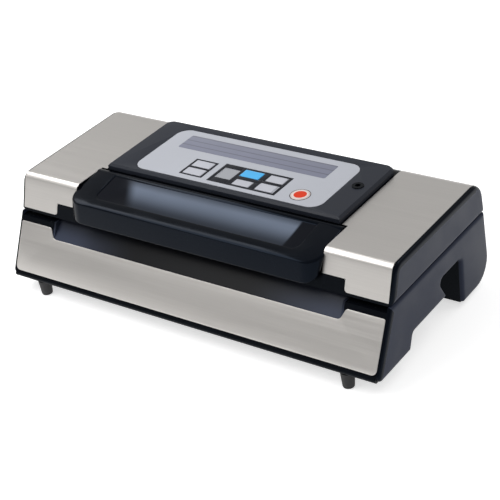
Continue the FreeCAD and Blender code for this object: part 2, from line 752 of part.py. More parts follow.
def build_electrics():
    floor = "bay_floor_z"
    front = f"({REAR_BOX_Y} + wall + 3)"
    core = block("core_block", ("core_x", front, floor),
                 ("core_x + core_length", f"{front} + core_depth", f"{floor} + core_height"))
    low_x = "core_x + (core_length - coil_length) / 2"
    window = block("core_window", (low_x, f"{front} - 1", f"{floor} + 8"),
                   (f"{low_x} + coil_length", f"{front} + core_depth + 1", f"{floor} + core_height - 8"))
    keep("transformer_core", cut("transformer_core", core, window))
    keep("transformer_coil", block("transformer_coil", (low_x, f"{front} - 2", f"{floor} + 8"),
                                   (f"{low_x} + coil_length", f"{front} + core_depth + 2",
                                    f"{floor} + core_height - 8")))
    board_low = ("power_board_x", f"{REAR_BOX_Y} + wall + 1", floor)
    board_high = ("power_board_x + power_board_length", f"{REAR_BOX_Y} + wall + 1 + power_board_depth",
                  f"{floor} + board_thick")
    keep("power_board", block("power_board", board_low, board_high))
    top = f"{floor} + board_thick"
    back = f"{REAR_BOX_Y} + wall"
    parts = [
        block("relay", ("power_board_x + 10", f"{back} + 8", top),
              ("power_board_x + 29", f"{back} + 24", f"{top} + 16")),
        rod("capacitor", "z", ("power_board_x + 42", f"{back} + 16", top), "6", "20"),
        block("fuse_holder", ("power_board_x + 54", f"{back} + 8", top),
              ("power_board_x + 76", f"{back} + 16", f"{top} + 9")),
        block("terminals", ("power_board_x + 54", f"{back} + 21", top),
              ("power_board_x + 80", f"{back} + 31", f"{top} + 11")),
    ]
    keep("board_parts", group("board_parts", parts))
    case = block("inlet_case", ("inlet_x - inlet_width / 2", "rear_y - inlet_depth",
                                "inlet_z - inlet_height / 2"),
                 ("inlet_x + inlet_width / 2", "rear_y + 2.2", "inlet_z + inlet_height / 2"))
    socket = block("inlet_socket", ("inlet_x - inlet_width / 2 + 3", "rear_y - inlet_depth + 3",
                                    "inlet_z - inlet_height / 2 + 3"),
                   ("inlet_x + inlet_width / 2 - 3", "rear_y + 5", "inlet_z + inlet_height / 2 - 3"))
    keep("power_inlet", cut("power_inlet", case, socket))
    blades = [rod("inlet_pin", "y", (f"inlet_x {side} 4.3", "rear_y - inlet_depth + 3", "inlet_z"), "1.2",
                  "9")
              for side in ("-", "+")]
    keep("inlet_pins", group("inlet_pins", blades))
    valve = block("valve_case", ("tray_port_x + 24", f"{TRAY_BACK} + fit_gap + wall", "hose_z - 9"),
                  ("tray_port_x + 46", f"{TRAY_BACK} + fit_gap + wall + 24", "hose_z + 7"))
    nose = rod("valve_coil", "y", ("tray_port_x + 35", f"{TRAY_BACK} + fit_gap + wall + 24",
                                   "hose_z - 1"), "6", "12")
    keep("release_valve", fuse("release_valve", valve, nose))
    sensor_x = f"({HALF} - 22)"
    keep("lid_sensor", block("lid_sensor", (sensor_x, "0", "deck_z - wall - 6"),
                             (f"{sensor_x} + 8", "12", "deck_z - wall")))
    keep("lid_magnet", rod("lid_magnet", "z", (f"{sensor_x} + 4", "6", "lid_bottom_z + liner_thick"),
                           "3.5", "3"))
    keepers = []
    for sign in ("-", ""):
        near = "bag_half + latch_offset - latch_width / 2 - 1"
        low_x = near if sign == "" else f"-({near}) - latch_width - 2"
        tip = "latch_y - hook_thick / 2 - toe_reach - keeper_gap"
        keepers.append(block("keeper", (low_x, f"{tip} - 6", "deck_z - wall - keeper_thick"),
                             (f"{low_x} + latch_width + 2", tip, "deck_z - wall")))
    keep("latch_keepers", group("latch_keepers", keepers))


def hinge_pin_rods(name, grow="0"):
    """Both hinge pins as rods, grown by a running gap where a hole is wanted."""
    rods = []
    span = "knuckle_length + 2 * ear_length"
    for low_x in (f"hinge_x - ({span}) / 2", f"-hinge_x - ({span}) / 2"):
        rods.append(rod(name, "x", (low_x, "rear_y - fit_gap", HINGE_Z), f"hinge_pin_radius + {grow}", span))
    return rods


# ---- lid ------------------------------------------------------------------------------------------

def lid_outline(bottom):
    """Side view of the lid above a height."""
    return [
        (lid_front(bottom), bottom),
        ("rear_y + lid_rear_bulge", bottom),
        ("rear_y - lid_rear_lean", LID_TOP),
        ("lid_brow_y", LID_TOP),
    ]


LID_ROUNDS = {"lid_front_round": [3], "lid_rear_round": [2]}


def steel_panel(side):
    """Thin sheet over the lid's front, top and rear brow, notched above the bag opening."""
    start = "panel_half" if side == "right" else f"-({HALF})"
    length = f"{HALF} - panel_half"
    outer = prism(f"steel_{side}_outer", "YZ_Plane", [
        (lid_front("lid_steel_low_z"), "lid_steel_low_z"),
        ("rear_y - lid_rear_lean", "lid_steel_low_z"),
        ("rear_y - lid_rear_lean", LID_TOP),
        ("lid_brow_y", LID_TOP),
    ], length, start, LID_ROUNDS)
    below = "(lid_steel_low_z - 2)"
    brow_z = f"{LID_TOP} - lid_rear_round"
    core = prism(f"steel_{side}_core", "YZ_Plane", [
        (f"{lid_front(below)} + 1.06 * steel_thick", below),
        ("rear_y - lid_rear_lean - steel_thick", below),
        ("rear_y - lid_rear_lean - steel_thick", f"{LID_TOP} - steel_thick"),
        (f"lid_brow_y + 1.06 * steel_thick - {LID_LEAN} * steel_thick", f"{LID_TOP} - steel_thick"),
    ], length, start, {"lid_front_round - steel_thick": [3], "lid_rear_round - steel_thick": [2]})
    tail = block(f"steel_{side}_tail", (start, "0", below), (f"{start} + {length}", "rear_y + 5", brow_z))
    low_x = "panel_half - 1" if side == "right" else "-bag_half"
    notch = block(f"steel_{side}_notch", (low_x, "toe_y", below),
                  (f"{low_x} + bag_half - panel_half + 1", "0", "lid_notch_z"))
    step_x = "panel_half - 1" if side == "right" else "-channel_half"
    step = block(f"steel_{side}_step", (step_x, "toe_y", below),
                 (f"{step_x} + channel_half - panel_half + 1", "bezel_front_y", f"{LID_TOP} + 1"))
    return cut(f"steel_{side}", outer, core, tail, notch, step)


def build_lid_shell():
    outer = prism("lid_outer", "YZ_Plane", lid_outline("lid_bottom_z"), f"2 * {HALF}", rounds=LID_ROUNDS)
    roof = f"({LID_TOP} - wall)"
    inner = prism("lid_inner", "YZ_Plane", [
        (f"{lid_front('(lid_bottom_z - 1)')} + 1.06 * wall", "lid_bottom_z - 1"),
        ("rear_y + lid_rear_bulge - wall", "lid_bottom_z - 1"),
        ("rear_y - lid_rear_lean - wall", roof),
        (f"lid_brow_y + 1.06 * wall - {LID_LEAN} * wall", roof),
    ], f"2 * {HALF} - 2 * wall", rounds={"lid_front_round - wall": [3], "lid_rear_round - wall": [2]})
    hollow = cut("lid_hollow", outer, inner)
    floor_front = "(lid_notch_z - 2)"
    floor_back = f"({LID_TOP} - 2 * rail_radius - 3)"
    channel_block = prism("channel_block", "YZ_Plane", [
        (f"{lid_front(floor_front)} + 0.5", f"{floor_front} - wall"),
        ("bezel_front_y + wall", f"{floor_back} - wall"),
        ("bezel_front_y + wall", f"{LID_TOP} - wall / 2"),
        ("lid_brow_y + 5", f"{LID_TOP} - wall / 2"),
        (f"{lid_front(floor_front)} + 0.5", f"{floor_front} + 1"),
    ], "2 * (channel_half + wall)")
    channel_space = prism("channel_space", "YZ_Plane", [
        ("toe_y", floor_front),
        (lid_front(floor_front), floor_front),
        ("bezel_front_y - fit_gap", floor_back),
        ("bezel_front_y - fit_gap", f"{LID_TOP} + 10"),
        ("toe_y", f"{LID_TOP} + 10"),
    ], "2 * channel_half")
    well = block("board_well", ("-(overlay_half + 3)", "overlay_front_y - 1", f"{LID_TOP} - wall - 1"),
                 ("overlay_half + 3", "overlay_front_y + overlay_depth + 1", f"{LID_TOP} + 1"))
    port_well = rod("port_well", "z", ("port_x", "port_y", f"{LID_TOP} - wall - 1"),
                    "port_radius + fit_gap", "wall + 2")
    knuckles = []
    ear_spaces = []
    for sign in ("-", ""):
        low_x = "hinge_x - knuckle_length / 2 + fit_gap" if sign == "" else "-hinge_x - knuckle_length / 2 + fit_gap"
        span = "knuckle_length - 2 * fit_gap"
        knuckles.append(rod("lid_knuckle", "x", (low_x, "rear_y - fit_gap", HINGE_Z), "hinge_radius", span))
        knuckles.append(block("knuckle_web", (low_x, "rear_y - fit_gap - hinge_radius + 1", HINGE_Z),
                              (f"{low_x} + {span}", "rear_y - fit_gap + 1", f"{HINGE_Z} + 10")))
        for near in ("hinge_x + knuckle_length / 2", "hinge_x - knuckle_length / 2 - ear_length"):
            start = near if sign == "" else f"-({near}) - ear_length"
            ear_spaces.append(block("ear_space",
                (f"{start} - fit_gap", "rear_y - 2 * hinge_radius + 2", "lid_bottom_z - 8"),
                                    (f"{start} + ear_length + fit_gap", "rear_y + 2 * hinge_radius",
                                     f"{HINGE_Z} + hinge_radius + 1")))
    whole = fuse("lid_whole", hollow, channel_block, *knuckles)
    panels = []
    for side in ("left", "right"):
        panel = steel_panel(side)
        panels.append(keep(f"lid_panel_{side}", panel))
    keep("lid_shell", cut("lid_shell", whole, channel_space, well, port_well, *ear_spaces,
                          *hinge_pin_rods("lid_pin_hole", "run_gap"), *pivot_rods("pivot_hole"), *panels))


def pivot_rods(name):
    """Pins on which the handle turns, through both sides of the channel."""
    span = "wall + handle_side_gap + 8"
    return [rod(name, "x", (start, PIVOT_Y, PIVOT_Z), "pivot_radius", span)
            for start in ("channel_half - handle_side_gap - 8", "-(channel_half + wall)")]


def build_liner():
    low_y = f"({lid_front('(lid_bottom_z + liner_thick)')} + 1.06 * wall + fit_gap)"
    high_y = "(rear_y - 2 * hinge_radius + 1)"
    plate = block("liner_plate", (f"-({HALF} - wall - fit_gap)", low_y, "lid_bottom_z"),
                  (f"{HALF} - wall - fit_gap", high_y, "lid_bottom_z + liner_thick"))
    removed = [
        ring("liner_groove", "(tray_half + fit_gap + 2 * wall + gasket_width)",
             "(tray_front_y - 1.5 * wall - gasket_width)",
             f"({TRAY_BACK} + 1.5 * wall + gasket_width)", "(lid_bottom_z - 1)",
             "(lid_bottom_z + gasket_inset)",
             "gasket_width"),
        block("strip_groove", ("-(bag_half - 2)", "seal_y - strip_width / 2", "lid_bottom_z - 1"),
              ("bag_half - 2", "seal_y + strip_width / 2", "lid_bottom_z + gasket_inset")),
    ]
    added = [plate]
    for sign in ("-", ""):
        near = "bag_half + latch_offset - latch_width / 2 - 1"
        low_x = near if sign == "" else f"-({near}) - latch_width - 2"
        removed.append(block("hook_window",
                             (low_x, "latch_y - hook_thick / 2 - toe_reach - keeper_gap", "lid_bottom_z - 1"),
                             (f"{low_x} + latch_width + 2", "latch_y + 18",
                              "lid_bottom_z + liner_thick + 1")))
        ear_x = "bag_half + latch_offset + latch_width / 2 + 2"
        low_ear = ear_x if sign == "" else f"-({ear_x}) - 3"
        added.append(block("shaft_ear", (low_ear, "latch_y - 5", "lid_bottom_z + liner_thick / 2"),
                           (f"{low_ear} + 3", "latch_y + 5", "latch_z + 5")))
    removed.append(rod("shaft_bore", "x", (f"-{HALF}", "latch_y", "latch_z"), "latch_radius + run_gap",
                       f"2 * {HALF}"))
    keep("lid_liner", cut("lid_liner", fuse("liner_whole", *added), *removed))


def build_lid_covers():
    for side in ("left", "right"):
        keep(f"lid_end_cover_{side}", end_cover(f"lid_end_{side}", side,
                                                lid_outline("(lid_bottom_z + 0.5)"), LID_ROUNDS))


def build_latch():
    reach = "bag_half + latch_offset + latch_width / 2 + 5.5"
    keep("latch_shaft", rod("latch_shaft", "x", (f"-({reach})", "latch_y", "latch_z"), "latch_radius",
                            f"2 * ({reach})"))
    hooks = []
    for middle in ("-(bag_half + latch_offset)", "bag_half + latch_offset"):
        low_x = f"{middle} - latch_width / 2"
        high_x = f"{middle} + latch_width / 2"
        hub = rod("hook_hub", "x", (low_x, "latch_y", "latch_z"), "latch_radius + 1.8", "latch_width")
        arm = block("hook_arm", (low_x, "latch_y - hook_thick / 2", "latch_z - hook_drop"),
                    (high_x, "latch_y + hook_thick / 2", "latch_z"))
        tip = block("hook_tip", (low_x, "latch_y - hook_thick / 2 - toe_reach", "latch_z - hook_drop"),
                    (high_x, "latch_y", "latch_z - hook_drop + toe_height"))
        bore = rod("hook_bore", "x", (f"{low_x} - 1", "latch_y", "latch_z"), "latch_radius",
                   "latch_width + 2")
        hooks.append(cut("hook", fuse("hook_whole", hub, arm, tip), bore))
    keep("latch_hooks", group("latch_hooks", hooks))


# ---- handle ---------------------------------------------------------------------------------------

def build_handle():
    side = "(channel_half - handle_side_gap)"
    bar = prism("handle_bar", "YZ_Plane", [
        ("bar_front_y", handle_top("bar_front_y")),
        ("bar_toe_y", "bar_foot_z"),
        ("bar_back_toe_y", "bar_foot_z"),
        ("bar_back_y", handle_top("bar_back_y")),
    ], "2 * handle_half")
    web = prism("handle_web", "YZ_Plane", [
        ("bar_front_y + 1", f"{handle_top('(bar_front_y + 1)')} - 0.2"),
        ("web_back_y", f"{handle_top('web_back_y')} - 0.2"),
        ("web_back_y", f"{handle_top('web_back_y')} - 2 * window_thick - 2"),
        ("bar_front_y + 4", f"{handle_top('(bar_front_y + 1)')} - 2 * window_thick - 2"),
    ], f"2 * {side}")
    arms = []
    for start in (f"{side} - arm_width", f"-{side}"):
        arms.append(prism("handle_arm", "YZ_Plane", [
            ("bar_front_y + 2", handle_top("(bar_front_y + 2)")),
            (PIVOT_Y, HANDLE_TOP),
            (PIVOT_Y, f"{PIVOT_Z} - rail_radius"),
            ("web_back_y", f"{handle_top('web_back_y')} - 2 * rail_radius"),
            ("bar_front_y + 2", f"{handle_top('web_back_y')} - 2 * rail_radius"),
        ], "arm_width", start))
    rail = rod("handle_rail", "x", (f"-{side}", PIVOT_Y, PIVOT_Z), "rail_radius", f"2 * {side}")
    holes = [rod("handle_pin_hole", "x", (start, PIVOT_Y, PIVOT_Z), "pivot_radius + run_gap", "9")
             for start in (f"{side} - 8", f"-({side}) - 1")]
    keep("handle", cut("handle", fuse("handle_whole", bar, web, rail, *arms), *holes))
    window_front = "(web_back_y)"
    window_back = f"({PIVOT_Y} - rail_radius - run_gap)"
    keep("viewing_window", prism("viewing_window", "YZ_Plane", [
        (window_front, f"{handle_top(window_front)} - window_sink"),
        (window_back, f"{handle_top(window_back)} - window_sink"),
        (window_back, f"{handle_top(window_back)} - window_sink - window_thick"),
        (window_front, f"{handle_top(window_front)} - window_sink - window_thick"),
    ], f"2 * ({side} - arm_width)"))
    keep("handle_pins", group("handle_pins", pivot_rods("handle_pin")))


# ---- control panel --------------------------------------------------------------------------------

KEYS = {
    "key_mode_back": ("-40.5", "13.0", "21", "11"),
    "key_mode_front": ("-40.5", "-1.5", "21", "11"),
    "key_start": ("15.0", "14.3", "21", "12"),
    "key_seal": ("15.8", "-2.7", "18.5", "9.5"),
    "key_speed": ("42.5", "14.5", "19", "10.5"),
    "key_food": ("41.5", "-1.4", "19", "11.5"),
}
RED_KEY = ("77.5", "0", "8.4")
DISPLAY = ("-8.2", "7.2", "16.6", "17.6")


def plan_box(name, centre, size, low, high, grow="0"):
    """Upright block around a centre in plan."""
    return block(name, (f"{centre[0]} - {size[0]} / 2 - {grow}", f"{centre[1]} - {size[1]} / 2 - {grow}",
                        low),
                 (f"{centre[0]} + {size[0]} / 2 + {grow}", f"{centre[1]} + {size[1]} / 2 + {grow}", high))


def build_panel():
    width = "(panel_half - 2)"
    depth_end = "(rear_y - bezel_rear_margin)"
    body = new_body("bezel")
    outer = outline(body, "bezel_outline", "XY_Plane",
                    rectangle((f"-{width}", "bezel_front_y"), (width, depth_end)), LID_TOP)
    pad(body, outer, "bezel_height", middle=False)
    round_corners(body, outer, {"bezel_round": [2, 3]})
    before = body.Tip
    edges = [f"Edge{index}" for index, edge in enumerate(before.Shape.Edges, start=1)
             if min(vertex.Z for vertex in edge.Vertexes) > sheet.lid_bottom_z + sheet.lid_height + 1]
    bevel = body.newObject("PartDesign::Chamfer", "bezel_bevel")
    bevel.Base = (before, edges)
    bevel.setExpression("Size", bound("bezel_edge"))
    doc.recompute()
    overlay_back = "(overlay_front_y + overlay_depth)"
    seat = prism("overlay_seat", "XY_Plane", rectangle(
        ("-(overlay_half + key_gap)", "overlay_front_y - key_gap"),
        ("overlay_half + key_gap", f"{overlay_back} + key_gap")), "overlay_thick + 1",
        f"{BEZEL_TOP} - overlay_thick", {"overlay_round": [0, 1, 2, 3]})
    hollow = block("panel_hollow", ("-(overlay_half - panel_ledge)", "overlay_front_y + panel_ledge",
                                    f"{LID_TOP} - 1"),
                   ("overlay_half - panel_ledge", f"{overlay_back} - panel_ledge", BEZEL_TOP))
    posts = []
    for across in ("-(overlay_half - 3)", "overlay_half - 3"):
        for along in ("overlay_front_y + 3", f"{overlay_back} - 3"):
            posts.append(rod("panel_post", "z", (across, along, f"{LID_TOP} - board_drop"), "3",
                             "board_drop + 1"))
    port_hole = rod("port_hole", "z", ("port_x", "port_y", f"{LID_TOP} - 1"), "port_radius",
                    "bezel_height + 2")
    keep("control_bezel", cut("control_bezel", fuse("bezel_whole", body, *posts), seat, hollow, port_hole))

    sheet_body = prism("overlay_sheet", "XY_Plane", rectangle(
        ("-overlay_half", "overlay_front_y"), ("overlay_half", overlay_back)), "overlay_thick",
        f"{BEZEL_TOP} - overlay_thick", {"overlay_round": [0, 1, 2, 3]})
    low = f"{BEZEL_TOP} - overlay_thick - 1"
    holes = [plan_box(f"{name}_hole", (x, y), (dx, dy), low, f"{BEZEL_TOP} + 1", "key_gap")
             for name, (x, y, dx, dy) in KEYS.items()]
    holes.append(rod("red_hole", "z", (RED_KEY[0], RED_KEY[1], low), f"{RED_KEY[2]} + key_gap",
                     "overlay_thick + 2"))
    holes.append(plan_box("display_hole", DISPLAY[:2], DISPLAY[2:], low, f"{BEZEL_TOP} + 1"))
    keep("control_overlay", cut("control_overlay", sheet_body, *holes))
    keep("display_window", plan_box("display_window", DISPLAY[:2], DISPLAY[2:],
                                    f"{BEZEL_TOP} - overlay_thick",
                                    f"{BEZEL_TOP} - 0.2"))


def build_keys():
    board_top = f"({LID_TOP} - board_drop)"
    foot = f"({BEZEL_TOP} + key_proud - key_height)"
    switches = []
    for name, (x, y, dx, dy) in KEYS.items():
        cap = plan_box(f"{name}_cap", (x, y), (dx, dy), foot, f"{BEZEL_TOP} + key_proud")
        lip = plan_box(f"{name}_lip", (x, y), (dx, dy), foot, f"{foot} + flange_height", "key_flange")
        keep(name, fuse(name, cap, lip))
        switches.append((x, y))
    cap = rod("red_cap", "z", (RED_KEY[0], RED_KEY[1], foot), RED_KEY[2], "key_height")
    lip = rod("red_lip", "z", (RED_KEY[0], RED_KEY[1], foot), f"{RED_KEY[2]} + key_flange", "flange_height")
    keep("key_stop", fuse("key_stop", cap, lip))
    switches.append(RED_KEY[:2])
    half = "switch_side / 2"
    switch_blocks = []
    for x, y in switches:
        case = block("switch_case", (f"{x} - {half}", f"{y} - {half}", board_top),
                     (f"{x} + {half}", f"{y} + {half}",
                                                                                     f"{board_top} + 4"))
        plunger = rod("switch_plunger", "z", (x, y, f"{board_top} + 4"), "1.7",
                      f"{foot} - 1.2 - ({board_top} + 4)")
        switch_blocks.append(fuse("switch", case, plunger))
    keep("key_switches", group("key_switches", switch_blocks))
    keep("control_board", block("control_board", ("-(overlay_half + 1)", "overlay_front_y + 0.5",
                                                  f"{board_top} - board_thick"),
                                ("overlay_half + 1", "overlay_front_y + overlay_depth - 0.5", board_top)))
    keep("display_module", plan_box("display_module", DISPLAY[:2], DISPLAY[2:], board_top,
                                    f"{BEZEL_TOP} - overlay_thick"))
    socket = rod("port_socket", "z", ("port_x", "port_y", f"{BEZEL_TOP} + 0.8 - port_depth"),
                 "port_radius", "port_depth")
    bore = rod("port_bore", "z", ("port_x", "port_y", f"{BEZEL_TOP} + 1.8 - port_depth + 1"), "port_bore",
               "port_depth")
    keep("accessory_port", cut("accessory_port", socket, bore))


def check_and_write():
    """Stop on any failed object, then write each sub-part to its own file."""
    doc.recompute()
    for item in doc.Objects:
        if "Invalid" in item.State or "Error" in item.State:
            raise RuntimeError(f"{item.Name} ({item.Label}) failed: {item.State}")
    for item in nodes:
        if item.Shape.isNull() or not item.Shape.isValid():
            raise RuntimeError(f"{item.Label} has no valid shape")
    os.makedirs("parts", exist_ok=True)
    for item in nodes:
        item.Shape.exportStep(f"parts/{item.Label}.step")
        box = item.Shape.BoundBox
        print(f"{item.Label}: {len(item.Shape.Solids)} solids, {item.Shape.Volume / 1000:.1f} cm3, "
              f"x {box.XMin:.1f}..{box.XMax:.1f} y {box.YMin:.1f}..{box.YMax:.1f} z {box.ZMin:.1f}..{box.ZMax:.1f}")


build_housing()
build_base_covers()
build_front()
build_bottom_cover()
build_vacuum_parts()
build_pump()
build_hose()
build_electrics()
keep("hinge_pins", group("hinge_pins", hinge_pin_rods("hinge_pin")))
build_lid_shell()
build_liner()
build_lid_covers()
build_latch()
build_handle()
build_panel()
build_keys()
check_and_write()
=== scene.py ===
import json
import math

import bmesh
import bpy
import numpy as np
from mathutils import Matrix, Vector

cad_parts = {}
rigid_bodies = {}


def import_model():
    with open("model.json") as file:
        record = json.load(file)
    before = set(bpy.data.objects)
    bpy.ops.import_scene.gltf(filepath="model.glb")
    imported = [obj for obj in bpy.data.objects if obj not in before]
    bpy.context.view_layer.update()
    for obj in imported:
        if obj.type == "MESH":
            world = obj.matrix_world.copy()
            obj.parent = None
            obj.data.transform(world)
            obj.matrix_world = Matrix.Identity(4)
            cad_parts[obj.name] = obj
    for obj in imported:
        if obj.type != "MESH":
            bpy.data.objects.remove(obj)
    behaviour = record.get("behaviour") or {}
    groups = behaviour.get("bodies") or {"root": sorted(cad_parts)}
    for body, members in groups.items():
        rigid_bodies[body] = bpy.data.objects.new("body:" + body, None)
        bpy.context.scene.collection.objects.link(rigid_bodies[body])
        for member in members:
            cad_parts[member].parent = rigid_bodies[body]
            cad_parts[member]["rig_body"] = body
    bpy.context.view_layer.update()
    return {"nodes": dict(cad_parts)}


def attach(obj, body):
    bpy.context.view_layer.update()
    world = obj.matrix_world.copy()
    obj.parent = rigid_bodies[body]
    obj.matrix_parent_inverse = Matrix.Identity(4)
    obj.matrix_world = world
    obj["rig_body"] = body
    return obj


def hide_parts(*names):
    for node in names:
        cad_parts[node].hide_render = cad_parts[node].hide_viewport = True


bl_info = {
    "name": "Vacuum sealer",
    "version": (1, 0, 0),
    "blender": (4, 5, 0),
    "location": "View3D > Sidebar > Sealer",
    "description": "Builds the visible pieces and finishes of a countertop vacuum sealer",
    "category": "Add Mesh",
}

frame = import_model()
MM = 0.001
SMOOTH_ANGLE = math.radians(32)
COPY_SMOOTH_ANGLE = math.radians(40)
COPY_BEVEL_ANGLE = math.radians(35)
FLAT_ANGLE = math.radians(1.0)


# ---- shapes ------------------------------------

def fade(value):
    """Smooth step from 0 to 1: three times the square less twice the cube."""
    value = np.clip(value, 0.0, 1.0)
    return value * value * (3 - 2 * value)


def rounded(corners, radii, steps=7, closed=True, share=0.49):
    """Replaces corners by circle arcs, for many outlines at once.

    The arc is the rational curve (u^2 s + 2uvw c + v^2 e) / (u^2 + 2uvw + v^2), where s and e lie a
    tangent length from the corner c and w is the cosine of half the turn. A corner takes no more than
    the given share of its shorter side. corners has the corner number first and the coordinates last.
    """
    corners = np.asarray(corners, float)
    radii = np.asarray(radii, float).reshape(len(corners), *([1] * (corners.ndim - 1)))
    before = np.roll(corners, 1, axis=0) - corners
    after = np.roll(corners, -1, axis=0) - corners
    before_length = np.linalg.norm(before, axis=-1, keepdims=True) + 1e-12
    after_length = np.linalg.norm(after, axis=-1, keepdims=True) + 1e-12
    before, after = before / before_length, after / after_length
    cosine = np.clip((before * after).sum(-1, keepdims=True), -1, 0.9999)
    cut = radii * np.sqrt((1 + cosine) / (1 - cosine))
    cut = np.minimum(cut, share * np.minimum(before_length, after_length))
    weight = np.sqrt((1 - cosine) / 2)
    v = np.linspace(0, 1, steps).reshape(1, steps, *([1] * (corners.ndim - 1)))
    u = 1 - v
    start, middle, end = (c[:, None] for c in (corners + before * cut, corners, corners + after * cut))
    weight = weight[:, None]
    total = u * u + 2 * u * v * weight + v * v
    points = (u * u * start + 2 * u * v * weight * middle + v * v * end) / total
    if closed:
        return points.reshape(-1, *corners.shape[1:])
    body = points[1:-1].reshape(-1, *corners.shape[1:])
    return np.concatenate([corners[:1], body, corners[-1:]])


def inward(outline, distance):
    """Moves a closed counter-clockwise outline inwards: each point goes along the mean of its two
    sides' normals, divided by the cosine of half the turn."""
    back = outline - np.roll(outline, 1, axis=0)
    ahead = np.roll(outline, -1, axis=0) - outline
    back /= np.linalg.norm(back, axis=1, keepdims=True) + 1e-12
    ahead /= np.linalg.norm(ahead, axis=1, keepdims=True) + 1e-12
    normal_back = np.stack([-back[:, 1], back[:, 0]], 1)
    normal_ahead = np.stack([-ahead[:, 1], ahead[:, 0]], 1)
    mean = normal_back + normal_ahead
    return outline + distance * mean * 2 / np.maximum((mean * mean).sum(1, keepdims=True), 0.5)


def strip_faces(rows, columns, wrap_rows, wrap_columns):
    """Quads of a grid of rows x columns, each direction closed on itself if asked."""
    r = np.arange(rows if wrap_rows else rows - 1)[:, None]
    c = np.arange(columns if wrap_columns else columns - 1)[None, :]
    nr, nc = (r + 1) % rows, (c + 1) % columns
    quads = np.stack([r * columns + c, r * columns + nc, nr * columns + nc, nr * columns + c], -1)
    return quads.reshape(-1, 4)


def add_piece(name, body, parts, finish, replaced=(), two_tone=None):
    """Joins grids into one mesh in metres, closes doubles, turns normals outwards and hangs it on its body.

    parts holds (grid, wrap rows, wrap columns, cap rows, cap columns), each grid rows x columns x 3 in mm.
    two_tone is (second finish, test), where the test is a function of the faces' centres in mm.
    """
    points, faces = [], []
    offset = 0
    for grid, wrap_rows, wrap_columns, cap_rows, cap_columns in parts:
        rows, columns = grid.shape[:2]
        points.append(grid.reshape(-1, 3))
        faces += (strip_faces(rows, columns, wrap_rows, wrap_columns) + offset).tolist()
        index = np.arange(rows * columns).reshape(rows, columns) + offset
        if cap_rows:
            faces += [index[0].tolist(), index[-1].tolist()]
        if cap_columns:
            faces += [index[:, 0].tolist(), index[:, -1].tolist()]
        offset += rows * columns
    mesh = bpy.data.meshes.new(name)
    mesh.from_pydata((np.concatenate(points) * MM).tolist(), [], faces)
    work = bmesh.new()
    work.from_mesh(mesh)
    bmesh.ops.remove_doubles(work, verts=work.verts, dist=1e-6)
    bmesh.ops.recalc_face_normals(work, faces=work.faces)
    work.to_mesh(mesh)
    work.free()
    mesh.materials.append(finish)
    mesh.polygons.foreach_set("use_smooth", np.ones(len(mesh.polygons), bool))
    mesh.set_sharp_from_angle(angle=SMOOTH_ANGLE)
    if two_tone:
        mesh.materials.append(two_tone[0])
        centres = np.zeros(len(mesh.polygons) * 3)
        mesh.polygons.foreach_get("center", centres)
        chosen = two_tone[1](centres.reshape(-1, 3) / MM)
        mesh.polygons.foreach_set("material_index", chosen.astype(np.int32))
    piece = bpy.data.objects.new(name, mesh)
    bpy.context.scene.collection.objects.link(piece)
    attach(piece, body)
    if replaced:
        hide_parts(*replaced)
    return piece


def tile(outline, levels, place):
    """Plate from one outline: each level is (inset, height), and place turns (across, along, height)
    into the object's frame. The first and last rings close with a flat face."""
    rings = []
    for inset, height in levels:
        ring = inward(outline, inset)
        rings.append(place(ring[:, 0], ring[:, 1], np.full(len(ring), float(height))))
    return (np.stack(rings), False, True, True, False)


def upright(across, along, height):
    return np.stack([across, along, height], -1)


def box_outline(centre_x, centre_y, width, depth, radius, steps=6):
    """Counter-clockwise rectangle with round corners."""
    x, y = width / 2, depth / 2
    corners = np.array([(-x, -y), (x, -y), (x, y), (-x, y)]) + (centre_x, centre_y)
    return rounded(corners, [radius] * 4, steps)


def circle_outline(centre_x, centre_y, radius, steps=48):
    turn = np.linspace(0, 2 * math.pi, steps, endpoint=False)
    return np.stack([centre_x + radius * np.cos(turn), centre_y + radius * np.sin(turn)], 1)


def turned(profile, centre, steps):
    """Rings of a turned shape: each (radius, height) carried round an upright axis."""
    around = np.linspace(0, 2 * math.pi, steps, endpoint=False)
    return np.stack([np.stack([centre[0] + r * np.cos(around), centre[1] + r * np.sin(around),
                               np.full(steps, z)], -1) for r, z in profile])


def soft_edge(low, high, edge, steps=4):
    """Levels of a plate's wall and its quarter-round top edge."""
    turn = np.linspace(0, math.pi / 2, steps)
    return [(0, low)] + [(edge * (1 - math.cos(a)), high - edge + edge * math.sin(a)) for a in turn]


def rounded_copy(node, width, finish):
    """Copy of a CAD node with its triangles merged into faces and its edges rounded by a Bevel modifier."""
    source = frame["nodes"][node]
    mesh = source.data.copy()
    work = bmesh.new()
    work.from_mesh(mesh)
    bmesh.ops.remove_doubles(work, verts=work.verts, dist=2e-6)
    bmesh.ops.dissolve_limit(work, angle_limit=FLAT_ANGLE, verts=work.verts, edges=work.edges)
    work.to_mesh(mesh)
    work.free()
    mesh.materials.clear()
    mesh.materials.append(finish)
    piece = bpy.data.objects.new(f"{node}_soft", mesh)
    bpy.context.scene.collection.objects.link(piece)
    bevel = piece.modifiers.new("soft_edges", "BEVEL")
    bevel.width = width * MM
    bevel.segments = 3
    bevel.limit_method = "ANGLE"
    bevel.angle_limit = COPY_BEVEL_ANGLE
    bevel.use_clamp_overlap = True
    mesh.polygons.foreach_set("use_smooth", np.ones(len(mesh.polygons), bool))
    mesh.set_sharp_from_angle(angle=COPY_SMOOTH_ANGLE)
    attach(piece, source["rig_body"])
    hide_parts(node)
    return piece


# ---- finishes ----------------------------------

